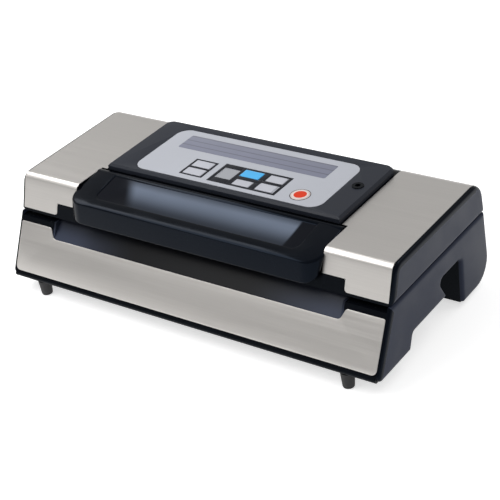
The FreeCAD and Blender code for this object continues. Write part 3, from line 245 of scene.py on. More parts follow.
class Bench:
    """Adds and joins shader nodes in one tree."""

    def __init__(self, tree):
        self.tree = tree

    def add(self, kind, inputs=None, **settings):
        node = self.tree.nodes.new(kind)
        for key, value in settings.items():
            setattr(node, key, value)
        for key, value in (inputs or {}).items():
            if isinstance(value, bpy.types.NodeSocket):
                self.tree.links.new(value, node.inputs[key])
            else:
                node.inputs[key].default_value = value
        return node

    def math(self, operation, first, second=0.0, third=0.0):
        return self.add("ShaderNodeMath", {0: first, 1: second, 2: third}, operation=operation).outputs[0]

    def spread(self, value, low, high, new_low=0.0, new_high=1.0):
        """Value mapped smoothly from one span to another."""
        node = self.add("ShaderNodeMapRange", {"Value": value, "From Min": low, "From Max": high,
                                               "To Min": new_low, "To Max": new_high},
                        interpolation_type="SMOOTHSTEP")
        return node.outputs["Result"]

    def mix(self, factor, first, second):
        node = self.add("ShaderNodeMix", {0: factor, 6: first, 7: second}, data_type="RGBA")
        return node.outputs[2]

    def noise(self, vector, scale, detail=3.0, roughness=0.5):
        node = self.add("ShaderNodeTexNoise", {"Vector": vector, "Scale": scale, "Detail": detail,
                                               "Roughness": roughness})
        return node.outputs["Fac"]


def group_tree(name, sockets, outputs):
    """Empty shader node group with named inputs and outputs."""
    tree = bpy.data.node_groups.new(name, "ShaderNodeTree")
    for label, kind, value in sockets:
        socket = tree.interface.new_socket(label, in_out="INPUT", socket_type=kind)
        if value is not None:
            socket.default_value = value
    for label, kind in outputs:
        tree.interface.new_socket(label, in_out="OUTPUT", socket_type=kind)
    bench = Bench(tree)
    return tree, bench, bench.add("NodeGroupInput"), bench.add("NodeGroupOutput")


def grain_group():
    """Moulded grain: fine pits for the bump and slow clouds for the sheen and shade."""
    tree, bench, given, result = group_tree("moulded_grain", [
        ("Position", "NodeSocketVector", None), ("Pit size", "NodeSocketFloat", 900.0),
        ("Cloud size", "NodeSocketFloat", 14.0)],
        [("Height", "NodeSocketFloat"), ("Cloud", "NodeSocketFloat")])
    pits = bench.noise(given.outputs["Position"], given.outputs["Pit size"], 2.0, 0.6)
    clouds = bench.noise(given.outputs["Position"], given.outputs["Cloud size"], 4.0, 0.55)
    tree.links.new(pits, result.inputs["Height"])
    tree.links.new(bench.spread(clouds, 0.3, 0.7), result.inputs["Cloud"])
    return tree


def brushed_group():
    """Brushed sheet: noise drawn out along one direction, as scratch height and streak."""
    tree, bench, given, result = group_tree("brushed_lines", [
        ("Position", "NodeSocketVector", None), ("Lines", "NodeSocketVector", (12.0, 2600.0, 2600.0))],
        [("Height", "NodeSocketFloat"), ("Streak", "NodeSocketFloat")])
    stretched = bench.add("ShaderNodeVectorMath", {0: given.outputs["Position"], 1: given.outputs["Lines"]},
                          operation="MULTIPLY").outputs[0]
    fine = bench.noise(stretched, 1.0, 2.0, 0.7)
    broad = bench.noise(stretched, 0.22, 3.0, 0.6)
    tree.links.new(fine, result.inputs["Height"])
    tree.links.new(bench.math("ADD", bench.math("MULTIPLY", fine, 0.5), bench.math("MULTIPLY", broad, 0.5)),
                   result.inputs["Streak"])
    return tree


GROUPS = {}


def start_finish(name, **shader):
    """New material; returns it with its bench, its Principled shader and its Object coordinates."""
    material = bpy.data.materials.new(name)
    material.use_nodes = True
    tree = material.node_tree
    tree.nodes.clear()
    bench = Bench(tree)
    surface = bench.add("ShaderNodeBsdfPrincipled")
    out = bench.add("ShaderNodeOutputMaterial")
    tree.links.new(surface.outputs[0], out.inputs[0])
    for key, value in shader.items():
        surface.inputs[key.replace("_", " ")].default_value = value
    place = bench.add("ShaderNodeTexCoord").outputs["Object"]
    return material, bench, surface, place


def relief(bench, surface, height, strength, distance=0.0002):
    bump = bench.add("ShaderNodeBump", {"Height": height, "Strength": strength, "Distance": distance})
    bench.tree.links.new(bump.outputs[0], surface.inputs["Normal"])


def paint(bench, surface, factor, dark, light):
    """Base colour that goes from one colour to another with the factor."""
    bench.tree.links.new(bench.mix(factor, (*dark, 1), (*light, 1)), surface.inputs["Base Color"])


def moulded(name, colour, roughness, pit=900.0, bump=0.12, shade=0.10, sheen=0.06, **shader):
    """Moulded plastic or rubber: colour and roughness drift with the clouds, and pits make the bump."""
    material, bench, surface, place = start_finish(name, **shader)
    grain = bench.add("ShaderNodeGroup", node_tree=GROUPS["grain"])
    bench.tree.links.new(place, grain.inputs["Position"])
    grain.inputs["Pit size"].default_value = pit
    cloud = grain.outputs["Cloud"]
    light = [min(1.0, c * (1 + shade)) for c in colour]
    dark = [c * (1 - shade) for c in colour]
    paint(bench, surface, cloud, dark, light)
    bench.tree.links.new(bench.spread(cloud, 0, 1, roughness - sheen, roughness + sheen),
                         surface.inputs["Roughness"])
    relief(bench, surface, grain.outputs["Height"], bump)
    return material


def brushed(name, colour, roughness, lines, bump=0.10, depth=0.10, **shader):
    """Brushed metal: streaks vary the colour and roughness, and the scratches make the bump."""
    material, bench, surface, place = start_finish(name, Metallic=1.0, **shader)
    brush = bench.add("ShaderNodeGroup", node_tree=GROUPS["brushed"])
    bench.tree.links.new(place, brush.inputs["Position"])
    brush.inputs["Lines"].default_value = lines
    streak = bench.spread(brush.outputs["Streak"], 0.3, 0.7)
    light = [min(1, c * (1 + depth)) for c in colour]
    dark = [c * (1 - depth) for c in colour]
    paint(bench, surface, streak, dark, light)
    bench.tree.links.new(bench.spread(streak, 0, 1, roughness - 0.04, roughness + 0.05),
                         surface.inputs["Roughness"])
    relief(bench, surface, brush.outputs["Height"], bump, 0.00005)
    return material


def stripes(bench, place, axis, pitch, duty=0.5, soft=0.15):
    """Repeating bands along one axis of the position: 1 inside a band and 0 between."""
    part = bench.add("ShaderNodeSeparateXYZ", {0: place}).outputs[axis]
    wave = bench.math("PINGPONG", bench.math("DIVIDE", part, pitch), 0.5)
    return bench.spread(wave, duty / 2 - soft / 2, duty / 2 + soft / 2)


def woven(name, colour, dark, pitch):
    """Glass-cloth tape: two crossed sets of bands make the weave and its relief."""
    material, bench, surface, place = start_finish(name, Roughness=0.5)
    first, second = stripes(bench, place, 0, pitch), stripes(bench, place, 1, pitch)
    weave = bench.math("ABSOLUTE", bench.math("SUBTRACT", first, second))
    paint(bench, surface, weave, dark, colour)
    relief(bench, surface, weave, 0.3, 0.0001)
    return material


def laminated(name, colour, dark, axis, pitch, metallic, roughness):
    """Stacked plates or wound wire: bands across one axis in colour and relief."""
    material, bench, surface, place = start_finish(name, Metallic=metallic, Roughness=roughness)
    band = stripes(bench, place, axis, pitch, 0.7, 0.4)
    paint(bench, surface, band, dark, colour)
    relief(bench, surface, band, 0.6, 0.0003)
    return material


def board_finish(name):
    """Circuit board: green mask over a maze of tracks, with pale pads."""
    material, bench, surface, place = start_finish(name, Roughness=0.35)
    flat = bench.add("ShaderNodeVectorMath", {0: place, 1: (1, 1, 0)}, operation="MULTIPLY").outputs[0]
    brick = bench.add("ShaderNodeTexBrick", {"Vector": flat, "Scale": 90.0, "Mortar Size": 0.08,
                                             "Color1": (0.02, 0.12, 0.05, 1), "Color2": (0.03, 0.17, 0.08, 1),
                                             "Mortar": (0.05, 0.25, 0.12, 1)})
    dots = bench.add("ShaderNodeTexVoronoi", {"Vector": flat, "Scale": 260.0}).outputs["Distance"]
    pads = bench.spread(dots, 0.16, 0.12)
    bench.tree.links.new(bench.mix(pads, brick.outputs["Color"], (0.55, 0.5, 0.35, 1)),
                         surface.inputs["Base Color"])
    relief(bench, surface, dots, 0.2)
    return material


def window_finish(colours):
    """Smoked panel: near-black, with a painted reflection: a paler blue-grey field that fades to its front,
    back and ends.
    """
    material, bench, surface, place = start_finish("smoked_window", Roughness=0.14, Specular_IOR_Level=0.05,
                                                   Specular_Tint=(0.5, 0.7, 1.0, 1))
    split = bench.add("ShaderNodeSeparateXYZ", {0: place})
    x, y = split.outputs[0], split.outputs[1]
    lean = bench.math("MULTIPLY_ADD", y, 0.57, x)
    left = bench.spread(lean, -0.1180, -0.1030)
    right = bench.spread(x, 0.1005, 0.0975)
    ends = bench.math("MULTIPLY", left, right)
    deep = bench.spread(y, -0.0640, -0.0400, 0.16, 1.0)
    back = bench.spread(y, -0.0310, -0.0400, 0.35, 1.0)
    cloud = bench.spread(bench.noise(place, 9.0), 0.3, 0.7, 0.92, 1.06)
    # painted reflection: the pale field stands in for the lamps and the white room mirrored in the glossy
    # panel
    painted_light_field = bench.math("MULTIPLY", bench.math("MULTIPLY", ends, bench.math("MULTIPLY", deep, back)), cloud)
    paint(bench, surface, painted_light_field, colours.window_dark, colours.window_painted_reflection)
    relief(bench, surface, bench.noise(place, 60.0), 0.02)
    return material


def shelf_finish(colours):
    """Bag shelf: satin black with a painted sheen that lightens it to blue-grey towards its two ends and its
    lower edge.
    """
    material, bench, surface, place = start_finish("shelf_satin", Roughness=0.36, Specular_IOR_Level=0.12)
    split = bench.add("ShaderNodeSeparateXYZ", {0: place})
    distance = bench.math("ABSOLUTE", split.outputs[0])
    ends = bench.spread(distance, 0.060, 0.158)
    low = bench.spread(split.outputs[2], 0.0725, 0.0590, 0.25, 1.0)
    cloud = bench.spread(bench.noise(place, 24.0), 0.2, 0.8, 0.9, 1.05)
    # painted sheen: the field lightens the black towards the ends and the lower edge
    painted_light_field = bench.math("MULTIPLY", bench.math("MULTIPLY", ends, low), cloud)
    paint(bench, surface, painted_light_field, colours.gloss_black, colours.shelf_painted_sheen)
    relief(bench, surface, bench.noise(place, 1100.0), 0.06)
    return material


def band_finish(colours):
    """Printed strip of the overlay: grey-violet with fine darker lines along it."""
    material, bench, surface, place = start_finish("printed_strip", Roughness=0.3)
    lines = stripes(bench, place, 1, 0.0083, 0.16, 0.10)
    cloud = bench.spread(bench.noise(place, 30.0), 0.3, 0.7)
    base = bench.mix(cloud, (*[c * 0.94 for c in colours.strip], 1), (*colours.strip, 1))
    bench.tree.links.new(bench.mix(lines, (*[c * 0.62 for c in colours.strip], 1), base),
                         surface.inputs["Base Color"])
    relief(bench, surface, bench.noise(place, 1400.0), 0.04)
    return material


# ---- sizes and colours that can be changed -----

def length(name, description, default, low=0.0, high=50.0):
    return bpy.props.FloatProperty(name=name, description=description, default=default, min=low, max=high)


def shade(name, description, default):
    return bpy.props.FloatVectorProperty(name=name, description=description, default=default, size=3,
                                         min=0.0, max=1.0, subtype="COLOR")


class SealerSizes(bpy.types.PropertyGroup):
    """Sizes in millimetres."""

    cover_rim: length("Cover rim", "Width of the round gloss rim on the end covers", 6.0)
    cover_edge: length("Cover edge", "How far the rim turns outwards", 3.6)
    handle_top: length("Handle top", "Height of the handle's top at its pivot", 113.0, 80, 130)
    handle_fall: length("Handle fall", "Drop of the handle's top from the pivot to its front edge", 8.3)
    handle_round: length("Handle round", "Round of the handle's front corners in plan", 24.0)
    key_crown: length("Key crown", "Rise of a key's middle", 0.18, 0, 1)
    sheet_edge: length("Sheet edge", "Round of a steel sheet's edge", 0.35, 0, 1)
    bezel_edge: length("Panel edge", "Round of the control panel's upper edge", 1.4, 0, 3)


class SealerColours(bpy.types.PropertyGroup):
    """Linear colours of the finishes."""

    gloss_black: shade("Gloss black", "Handle, rims and case", (0.0022, 0.0027, 0.0042))
    # lighter blue-grey that paints the sheen of the black plastic on the end covers' flat faces
    side_painted_sheen: shade("Side grey", "Flat faces of the end covers", (0.018, 0.024, 0.046))
    panel_black: shade("Panel black", "Top of the control panel", (0.020, 0.023, 0.032))
    steel: shade("Steel", "Brushed steel sheets", (0.600, 0.578, 0.553))
    overlay: shade("Overlay", "Printed overlay", (0.440, 0.455, 0.500))
    strip: shade("Strip", "Printed strip on the overlay", (0.190, 0.200, 0.265))
    key_grey: shade("Grey keys", "Grey key caps", (0.470, 0.480, 0.530))
    key_blue: shade("Blue key", "Start key cap", (0.080, 0.440, 0.830))
    key_red: shade("Red key", "Stop key cap", (0.680, 0.040, 0.006))
    # colour of the painted reflection on the smoked window
    window_painted_reflection: shade("Window light", "Pale field of the smoked window", (0.135, 0.162, 0.215))
    window_dark: shade("Window dark", "Dark ends of the smoked window", (0.006, 0.0065, 0.009))
    # colour of the painted sheen at the bag shelf's ends and lower edge
    shelf_painted_sheen: shade("Shelf light", "Ends of the bag shelf", (0.040, 0.049, 0.078))


def settings():
    scene = bpy.context.scene
    return scene.sealer_sizes, scene.sealer_colours


FINISHES = {}


def make_finishes():
    _, colours = settings()
    GROUPS["grain"] = grain_group()
    GROUPS["brushed"] = brushed_group()
    black, grey = tuple(colours.gloss_black), tuple(colours.side_painted_sheen)
    steel = tuple(colours.steel)
    FINISHES.update({
        "gloss": moulded("gloss_black", black, 0.13, 1200, 0.02, Specular_IOR_Level=0.10,
                         Specular_Tint=(0.5, 0.68, 1.0, 1)),
        "case": moulded("case_black", black, 0.26, 900, 0.10, Specular_IOR_Level=0.08,
                        Specular_Tint=(0.7, 0.85, 1.0, 1)),
        # side: black plastic painted lighter blue-grey as sheen on the end covers' flat faces
        "side": moulded("side_painted_sheen", grey, 0.40, 800, 0.10, 0.06, Specular_IOR_Level=0.16),
        "panel": moulded("panel_black", tuple(colours.panel_black), 0.38, 1000, 0.10, 0.06,
                         Specular_IOR_Level=0.15),
        "steel": brushed("brushed_steel", steel, 0.34, (14.0, 3400.0, 3400.0), 0.06, 0.035),
        "overlay": moulded("overlay_silver", tuple(colours.overlay), 0.42, 1600, 0.05, 0.02,
                           Specular_IOR_Level=0.25),
        "strip": band_finish(colours),
        "ink": moulded("overlay_ink", (0.012, 0.013, 0.018), 0.42, 1500, 0.04, Specular_IOR_Level=0.12),
        "key_grey": moulded("key_grey", tuple(colours.key_grey), 0.40, 1500, 0.05, 0.03),
        "key_blue": moulded("key_blue", tuple(colours.key_blue), 0.35, 1500, 0.04, 0.04,
                            Specular_IOR_Level=0.2),
        "key_red": moulded("key_red", tuple(colours.key_red), 0.35, 1500, 0.04, 0.04,
                           Specular_IOR_Level=0.15),
        "ring": moulded("pale_ring", (0.72, 0.62, 0.58), 0.4, 1500, 0.04, 0.02),
        "display": moulded("display_glass", (0.33, 0.34, 0.37), 0.08, 1500, 0.01, 0.05, 0.02,
                           Coat_Weight=0.5),
        "window": window_finish(colours),
        "shelf": shelf_finish(colours),
        "rubber": moulded("foot_rubber", (0.010, 0.010, 0.011), 0.62, 700, 0.30),
        "gasket": moulded("gasket_foam", (0.022, 0.022, 0.024), 0.85, 1800, 0.9, 0.25),
        "silicone": moulded("strip_silicone", (0.50, 0.49, 0.45), 0.55, 900, 0.12, 0.04),
        "tape": woven("glass_cloth_tape", (0.42, 0.27, 0.13), (0.24, 0.14, 0.06), 0.0011),
        "wire": brushed("resistance_wire", (0.50, 0.48, 0.45), 0.34, (40.0, 3000.0, 3000.0)),
        "pin": brushed("turned_steel", (0.52, 0.52, 0.53), 0.25, (3000.0, 60.0, 60.0)),
        "motor": brushed("zinc_can", (0.46, 0.46, 0.48), 0.36, (30.0, 900.0, 900.0)),
        "pump": moulded("pump_plastic", (0.62, 0.61, 0.57), 0.5, 700, 0.15, 0.04),
        "iron": laminated("iron_core", (0.14, 0.14, 0.15), (0.03, 0.03, 0.035), 1, 0.0012, 0.6, 0.45),
        "copper": laminated("copper_winding", (0.62, 0.27, 0.12), (0.22, 0.08, 0.03), 0, 0.0010, 0.9, 0.3),
        "board": board_finish("circuit_board"),
        "parts": moulded("dark_parts", (0.05, 0.05, 0.06), 0.4, 600, 0.2, 0.2),
        "hose": moulded("silicone_hose", (0.52, 0.52, 0.50), 0.35, 900, 0.08, 0.05),
        "tray": moulded("tray_black", (0.030, 0.032, 0.038), 0.34, 800, 0.12),
        "brass": brushed("plated_blades", (0.68, 0.52, 0.26), 0.28, (800.0, 30.0, 800.0)),
    })


NODE_FINISHES = {
    "case": ["base_housing", "bottom_cover", "power_inlet", "lid_shell", "lid_liner", "accessory_port",
             "latch_keepers", "control_bezel", "handle"],
    "steel": ["lid_panel_left", "lid_panel_right", "front_panel"],
    "side": ["base_end_cover_left", "base_end_cover_right", "lid_end_cover_left", "lid_end_cover_right"],
    "shelf": ["bag_shelf"],
    "rubber": ["front_feet", "rear_pads"],
    "gasket": ["lower_gasket", "upper_gasket"],
    "silicone": ["pressure_strip"],
    "tape": ["seal_tape"],
    "wire": ["heating_wire"],
    "pin": ["cover_screws", "hinge_pins", "handle_pins", "latch_shaft", "latch_hooks", "pump_crank",
            "motor_saddle"],
    "motor": ["pump_motor"],
    "pump": ["pump_housing", "release_valve", "seal_bar"],
    "iron": ["transformer_core", "lid_magnet"],
    "copper": ["transformer_coil"],
    "board": ["power_board", "control_board"],
    "parts": ["board_parts", "lid_sensor", "key_switches", "display_module"],
    "hose": ["vacuum_hose"],
    "tray": ["vacuum_tray"],
    "brass": ["inlet_pins"],
    "display": ["display_window"],
    "window": ["viewing_window"],
    "overlay": ["control_overlay"],
    "key_grey": ["key_mode_back", "key_mode_front", "key_seal", "key_speed", "key_food"],
    "key_blue": ["key_start"],
    "key_red": ["key_stop"],
}


class SEALER_OT_node_finishes(bpy.types.Operator):
    """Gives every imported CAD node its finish"""

    bl_idname = "sealer.node_finishes"
    bl_label = "Node finishes"

    def execute(self, context):
        make_finishes()
        for finish, nodes in NODE_FINISHES.items():
            for node in nodes:
                mesh = frame["nodes"][node].data
                mesh.materials.clear()
                mesh.materials.append(FINISHES[finish])
        bare = [name for name, item in frame["nodes"].items() if item.data.materials[0] is None or
                item.data.materials[0].name not in bpy.data.materials]
        if bare:
            raise RuntimeError(f"nodes without a finish: {bare}")
        return {"FINISHED"}


# ---- end covers --------------------------------

CASE_HALF = 206.0
BASE_CORNERS = [(-104.0, 16.0), (-46.0, 16.0), (-40.0, 31.0), (22.0, 31.0), (8.5, 53.5), (51.0, 53.5),
                (51.0, 5.0), (105.0, 5.0), (98.4, 76.0), (-73.04, 76.0)]
BASE_RADII = [5.5, 3.0, 4.0, 2.0, 5.0, 5.0, 2.5, 30.0, 1.0, 1.0]
LID_CORNERS = [(-71.83, 77.0), (98.8, 77.0), (94.5, 111.0), (-60.0, 111.0)]
LID_RADII = [1.0, 1.0, 19.0, 12.0]
LID_FOOT_Y, LID_FOOT_Z = -72.0, 76.5
LID_LEAN = 12.0 / 34.5
BASE_FOOT_Y, BASE_FOOT_Z = -104.0, 16.0
BASE_LEAN = (104.0 - 75.1) / 56.0
BASE_RIM = 6.3
LID_RIM = 6.0
BROW_Y, BROW_Z, BROW_RADIUS = -53.0, 99.0, 6.0
# bounds of the end covers' satin faces, which are painted lighter blue-grey as sheen
SATIN_SHEEN_TOP = 105.6
REAR_SATIN_SHEEN_Y, REAR_SATIN_SHEEN_TOP = 88.0, 100.0


def lid_front(z):
    """Depth of the lid's leaning front at a height."""
    return LID_FOOT_Y + (z - LID_FOOT_Z) * LID_LEAN


def base_front(z):
    """Depth of the base's leaning front at a height."""
    return BASE_FOOT_Y + (z - BASE_FOOT_Z) * BASE_LEAN


def inset_outline(corners, radii, distance, steps=9):
    """Outline moved inwards: the sharp corners move first, then they are rounded, with the radius less the
    distance where the outline turns outwards and plus the distance where it turns inwards."""
    corners = np.array(corners, float)
    back, ahead = corners - np.roll(corners, 1, axis=0), np.roll(corners, -1, axis=0) - corners
    turn = np.sign(back[:, 0] * ahead[:, 1] - back[:, 1] * ahead[:, 0])
    return rounded(inward(corners, distance), np.maximum(np.array(radii) - turn * distance, 0.4), steps)


def cover_rings(corners, radii, side, rim, edge):
    """Rings of an end cover: a wall, a quarter-round edge and a flat face. Each ring is the outline moved
    inwards, at its own distance from the case, and the last ring bounds the gloss rim."""
    turn = np.linspace(0, math.pi / 2, 7)
    levels = [(0.0, 0.0)] + [(edge * (1 - math.cos(a)), 0.4 + (edge - 0.4) * math.sin(a)) for a in turn]
    rings = []
    for inset, rise in levels + [(rim, edge)]:
        ring = inset_outline(corners, radii, inset)
        rings.append(np.stack([np.full(len(ring), side * (CASE_HALF + rise)), ring[:, 0], ring[:, 1]], -1))
    return (np.stack(rings), False, True, True, False)


def base_satin_sheen_face(y, z):
    """Where the base's end cover is satin and painted with the lighter blue-grey sheen: behind its gloss
    front rim.
    """
    return y > base_front(z) + BASE_RIM


def lid_satin_sheen_face(y, z):
    """Where the lid's end cover is satin and painted with the lighter blue-grey sheen: behind its front rim
    and under its top rim.
    """
    brow = np.hypot(np.minimum(y - BROW_Y, 0), np.maximum(z - BROW_Z, 0)) < BROW_RADIUS
    inside = (y > lid_front(z) + LID_RIM) & (z < SATIN_SHEEN_TOP) & brow
    return inside | (y > REAR_SATIN_SHEEN_Y) & (z < REAR_SATIN_SHEEN_TOP)


class SEALER_OT_end_covers(bpy.types.Operator):
    """Builds the end covers: a profile carried round the side outline, gloss black on the rim and satin
    inside, where a lighter blue-grey paints the sheen of the black plastic
    """

    bl_idname = "sealer.end_covers"
    bl_label = "End covers"

    def execute(self, context):
        sizes, _ = settings()
        for part, corners, radii, satin in (("base", BASE_CORNERS, BASE_RADII, base_satin_sheen_face),
                                            ("lid", LID_CORNERS, LID_RADII, lid_satin_sheen_face)):
            for name, side in (("left", -1), ("right", 1)):
                node = f"{part}_end_cover_{name}"
                rings = cover_rings(corners, radii, side, sizes.cover_rim, sizes.cover_edge)
                # the satin faces take the lighter blue-grey painted sheen, and the rim keeps the gloss black
                add_piece(f"{node}_moulded", part, [rings], FINISHES["gloss"], [node],
                          (FINISHES["side"], lambda c, test=satin: test(c[:, 1], c[:, 2])))
        return {"FINISHED"}


# ---- handle ------------------------------------

PIVOT_Y = -27.8
BAR_FRONT_Y = -76.0
SECTION_RADII = [1.4, 8.0, 2.4, 2.0, 1.0, 1.0]
RAIL_RADIUS, RAIL_DROP, RAIL_STEPS = 5.45, 5.5, 48
RAIL_RINGS = [(-138.6, 0.86), (-138.2, 0.96), (-137.6, 1.0), (137.6, 1.0), (138.2, 0.96), (138.6, 0.86)]
WINDOW_HALF, WINDOW_GAP = 114.5, 0.1
WINDOW_FRONT_Y, WINDOW_REAR_Y = -65.8, -31.6
WINDOW_DROP, WINDOW_SAG, WINDOW_FADE, WINDOW_THICK = 0.9, 1.2, 30.0, 2.2


def handle_top(y, sizes):
    """Plane that falls evenly from the pivot to the front edge."""
    return sizes.handle_top - sizes.handle_fall * (PIVOT_Y - y) / (PIVOT_Y - BAR_FRONT_Y)


def mirrored(points):
    """Half of a path from the left end to the middle, with its mirror image after it."""
    points = np.array(points, float)
    return np.concatenate([points, points[::-1] * (-1, 1, 1)])


def handle_path(half, radii, sizes, drop=None):
    """One edge of the handle as a U in plan: rounded corners, with heights from the sloping top less a
    drop, or as given."""
    points = mirrored(half)
    if drop is not None:
        points[:, 2] = handle_top(points[:, 1], sizes) - drop
    return rounded(points, np.concatenate([radii, radii[::-1]]), 13, closed=False, share=0.92)


class SEALER_OT_handle(bpy.types.Operator):
    """Builds the handle: a closed section, different at each point, carried round a U"""

    bl_idname = "sealer.handle"
    bl_label = "Handle"

    def execute(self, context):
        sizes, _ = settings()
        rear = PIVOT_Y
        turn = sizes.handle_round
        edge = -WINDOW_HALF
        inner = [(edge, rear, 0), (edge, -44, 0), (edge, -50, 0), (edge, -63.8, 0)]
        outer = [(-125.6, rear, 0), (-125.4, -40, 0), (-125.4, -46, 0), (-126.5, -75.6, 0)]
        flank = [(-139.0, rear, 112.5), (-139.0, -42, 110.6), (-138.8, -50, 109.0), (-144.5, -77.4, 103.2)]
        low = [(-138.8, rear, 102.0), (-138.6, -54, 98.8), (-138.4, -65, 97.0), (-144.0, -80.0, 82.0)]
        back = [(-134.0, rear, 102.0), (-134.0, -54, 98.8), (-134.0, -67, 97.0), (-134.0, -75.2, 81.6)]
        under = [(edge, rear, 102.0), (edge, -50, 98.6), (edge, -58, 97.2), (edge, -69.0, 98.3)]
        section = np.stack([
            handle_path(inner, [0, 1, 1, 8], sizes, 0.0),
            handle_path(outer, [0, 40, 40, turn], sizes, 0.0),
            handle_path(flank, [0, 40, 40, turn * 0.7], sizes),
            handle_path(low, [0, 20, 12, turn * 0.7], sizes),
            handle_path(back, [0, 20, 6, 9], sizes),
            handle_path(under, [0, 1, 1, 8], sizes),
        ])
        loop = rounded(section, SECTION_RADII, 7)
        add_piece("handle_moulded", "handle", [(loop, True, False, False, True)], FINISHES["gloss"],
                  ["handle"])
        around = np.linspace(0, 2 * math.pi, RAIL_STEPS, endpoint=False)
        middle = sizes.handle_top - RAIL_DROP
        rail = np.stack([np.stack([np.full(RAIL_STEPS, x), PIVOT_Y + RAIL_RADIUS * r * np.cos(around),
                                   middle + RAIL_RADIUS * r * np.sin(around)], -1) for x, r in RAIL_RINGS])
        add_piece("handle_rail", "handle", [(rail, False, True, True, False)], FINISHES["gloss"])
        return {"FINISHED"}


class SEALER_OT_window(bpy.types.Operator):
    """Builds the smoked window: a shallow trough between the arms, deepest half way back"""

    bl_idname = "sealer.window"
    bl_label = "Viewing window"

    def execute(self, context):
        sizes, _ = settings()
        x = np.linspace(-WINDOW_HALF + WINDOW_GAP, WINDOW_HALF - WINDOW_GAP, 60)
        y = np.linspace(WINDOW_FRONT_Y, WINDOW_REAR_Y, 22)
        grid_y, grid_x = np.meshgrid(y, x, indexing="ij")
        across = np.clip((WINDOW_HALF - np.abs(grid_x)) / WINDOW_FADE, 0, 1)
        along = (grid_y - y[0]) / (y[-1] - y[0])
        sag = WINDOW_DROP + WINDOW_SAG * fade(across) * np.sin(math.pi * np.clip(along, 0, 1)) ** 0.8
        top = np.stack([grid_x, grid_y, handle_top(grid_y, sizes) - sag], -1)
        panel = np.concatenate([top, top[::-1] - (0, 0, WINDOW_THICK)])
        add_piece("viewing_window_smoked", "handle", [(panel, True, False, False, True)],
                  FINISHES["window"], ["viewing_window"])
        return {"FINISHED"}


# ---- steel sheets ------------------------------

LID_TOP = 111.0
SHEET_LOW_Z, SHEET_STEP_X, SHEET_STEP_Z, SHEET_INNER_X = 79.0, 163.0, 90.0, 139.6
STEP_RADIUS = 3
SHEET_BREAK_Y, SHEET_BREAK_Z = -21.0, 101.0
BROW_CORNER_Y, BROW_ARC_RADIUS = -60.0, 12.0
REAR_INNER_X, REAR_COLUMNS = 133.6, 12
REAR_LINE = [(SHEET_BREAK_Y, LID_TOP), (94.75, 111.15), (97.2, 92.0)]
REAR_RADIUS = 19.0
SHEET_THICK = 0.8
FRONT_SHEET = [(-206, 23), (206, 23), (206, 67), (167.8, 67), (163, 57.5), (-163, 57.5), (-167.8, 67),
               (-206, 67)]
FRONT_SHEET_RADII = [5, 5, 1.5, 3, 5, 5, 3, 1.5]
FRONT_SHEET_THICK = 0.9


def carried(line, across):
    """Sheet from a side profile of (depth, height) points, carried across at the given widths."""
    shape = (len(line), len(across))
    return np.stack([np.broadcast_to(part, shape) for part in (across, line[:, :1], line[:, 1:])], -1)


class SEALER_OT_lid_sheets(bpy.types.Operator):
    """Builds the lid's two steel sheets: the lid's side profile carried across, with a stepped lower edge"""

    bl_idname = "sealer.lid_sheets"
    bl_label = "Lid sheets"

    def execute(self, context):
        steps = [(CASE_HALF, SHEET_LOW_Z), (SHEET_STEP_X, SHEET_LOW_Z), (SHEET_STEP_X, SHEET_STEP_Z),
                 (SHEET_INNER_X, SHEET_STEP_Z)]
        edge = rounded(steps, [0, STEP_RADIUS, STEP_RADIUS, 0], 6, closed=False)
        edge_x, edge_z = edge[:, 0], edge[:, 1]
        share = np.linspace(0, 1, len(edge))
        even_x = CASE_HALF + (SHEET_INNER_X - CASE_HALF) * share
        side = [(lid_front(SHEET_BREAK_Z), SHEET_BREAK_Z), (BROW_CORNER_Y, LID_TOP), (SHEET_BREAK_Y, LID_TOP)]
        profile = rounded(side, [0, BROW_ARC_RADIUS, 0], 15, closed=False)
        rise = np.linspace(0, 1, 12)[:-1, None]
        low_z = edge_z + (SHEET_BREAK_Z - edge_z) * rise
        low_x = edge_x + (even_x - edge_x) * fade(rise)
        low = np.stack([low_x, lid_front(low_z), low_z], -1)
        front = np.concatenate([low, carried(profile, even_x)])
        rear_x = np.linspace(CASE_HALF, REAR_INNER_X, REAR_COLUMNS)
        rear_line = rounded(REAR_LINE, [0, REAR_RADIUS, 0], 21, closed=False, share=1.0)
        rear = carried(rear_line, rear_x)
        for name, side in (("left", -1), ("right", 1)):
            parts = [(thickened(grid * (side, 1, 1), SHEET_THICK), True, False, False, True)
                     for grid in (front, rear)]
            add_piece(f"lid_sheet_{name}", "lid", parts, FINISHES["steel"], [f"lid_panel_{name}"])
        return {"FINISHED"}


def thickened(grid, depth):
    """Closed wall from a sheet: its points, then the same points moved inwards along the sheet's normal,
    which is the cross product of its two directions."""
    along = np.gradient(grid, axis=0)
    across = np.gradient(grid, axis=1)
    normal = np.cross(along, across)
    normal /= np.linalg.norm(normal, axis=-1, keepdims=True) + 1e-12
    if normal[-1, :, 2].mean() + normal[0, :, 2].mean() < 0:
        normal = -normal
    return np.concatenate([grid, (grid - normal * depth)[::-1]])


class SEALER_OT_front_sheet(bpy.types.Operator):
    """Builds the base's steel front: one outline with round corners and the notch for the bag, laid on the
    leaning front"""

    bl_idname = "sealer.front_sheet"
    bl_label = "Front sheet"

    def execute(self, context):
        sizes, _ = settings()
        outline = rounded(FRONT_SHEET, FRONT_SHEET_RADII, 8)
        lean = math.hypot(1, BASE_LEAN)

        def on_front(x, z, rise):
            depth = base_front(z) + FRONT_SHEET_THICK - rise * (1 / lean)
            return np.stack([x, depth, z + rise * (BASE_LEAN / lean)], -1)

        levels = soft_edge(0, FRONT_SHEET_THICK, sizes.sheet_edge)
        add_piece("front_sheet", "base", [tile(outline, levels, on_front)], FINISHES["steel"],
                  ["front_panel"])
        return {"FINISHED"}


# ---- control panel -----------------------------

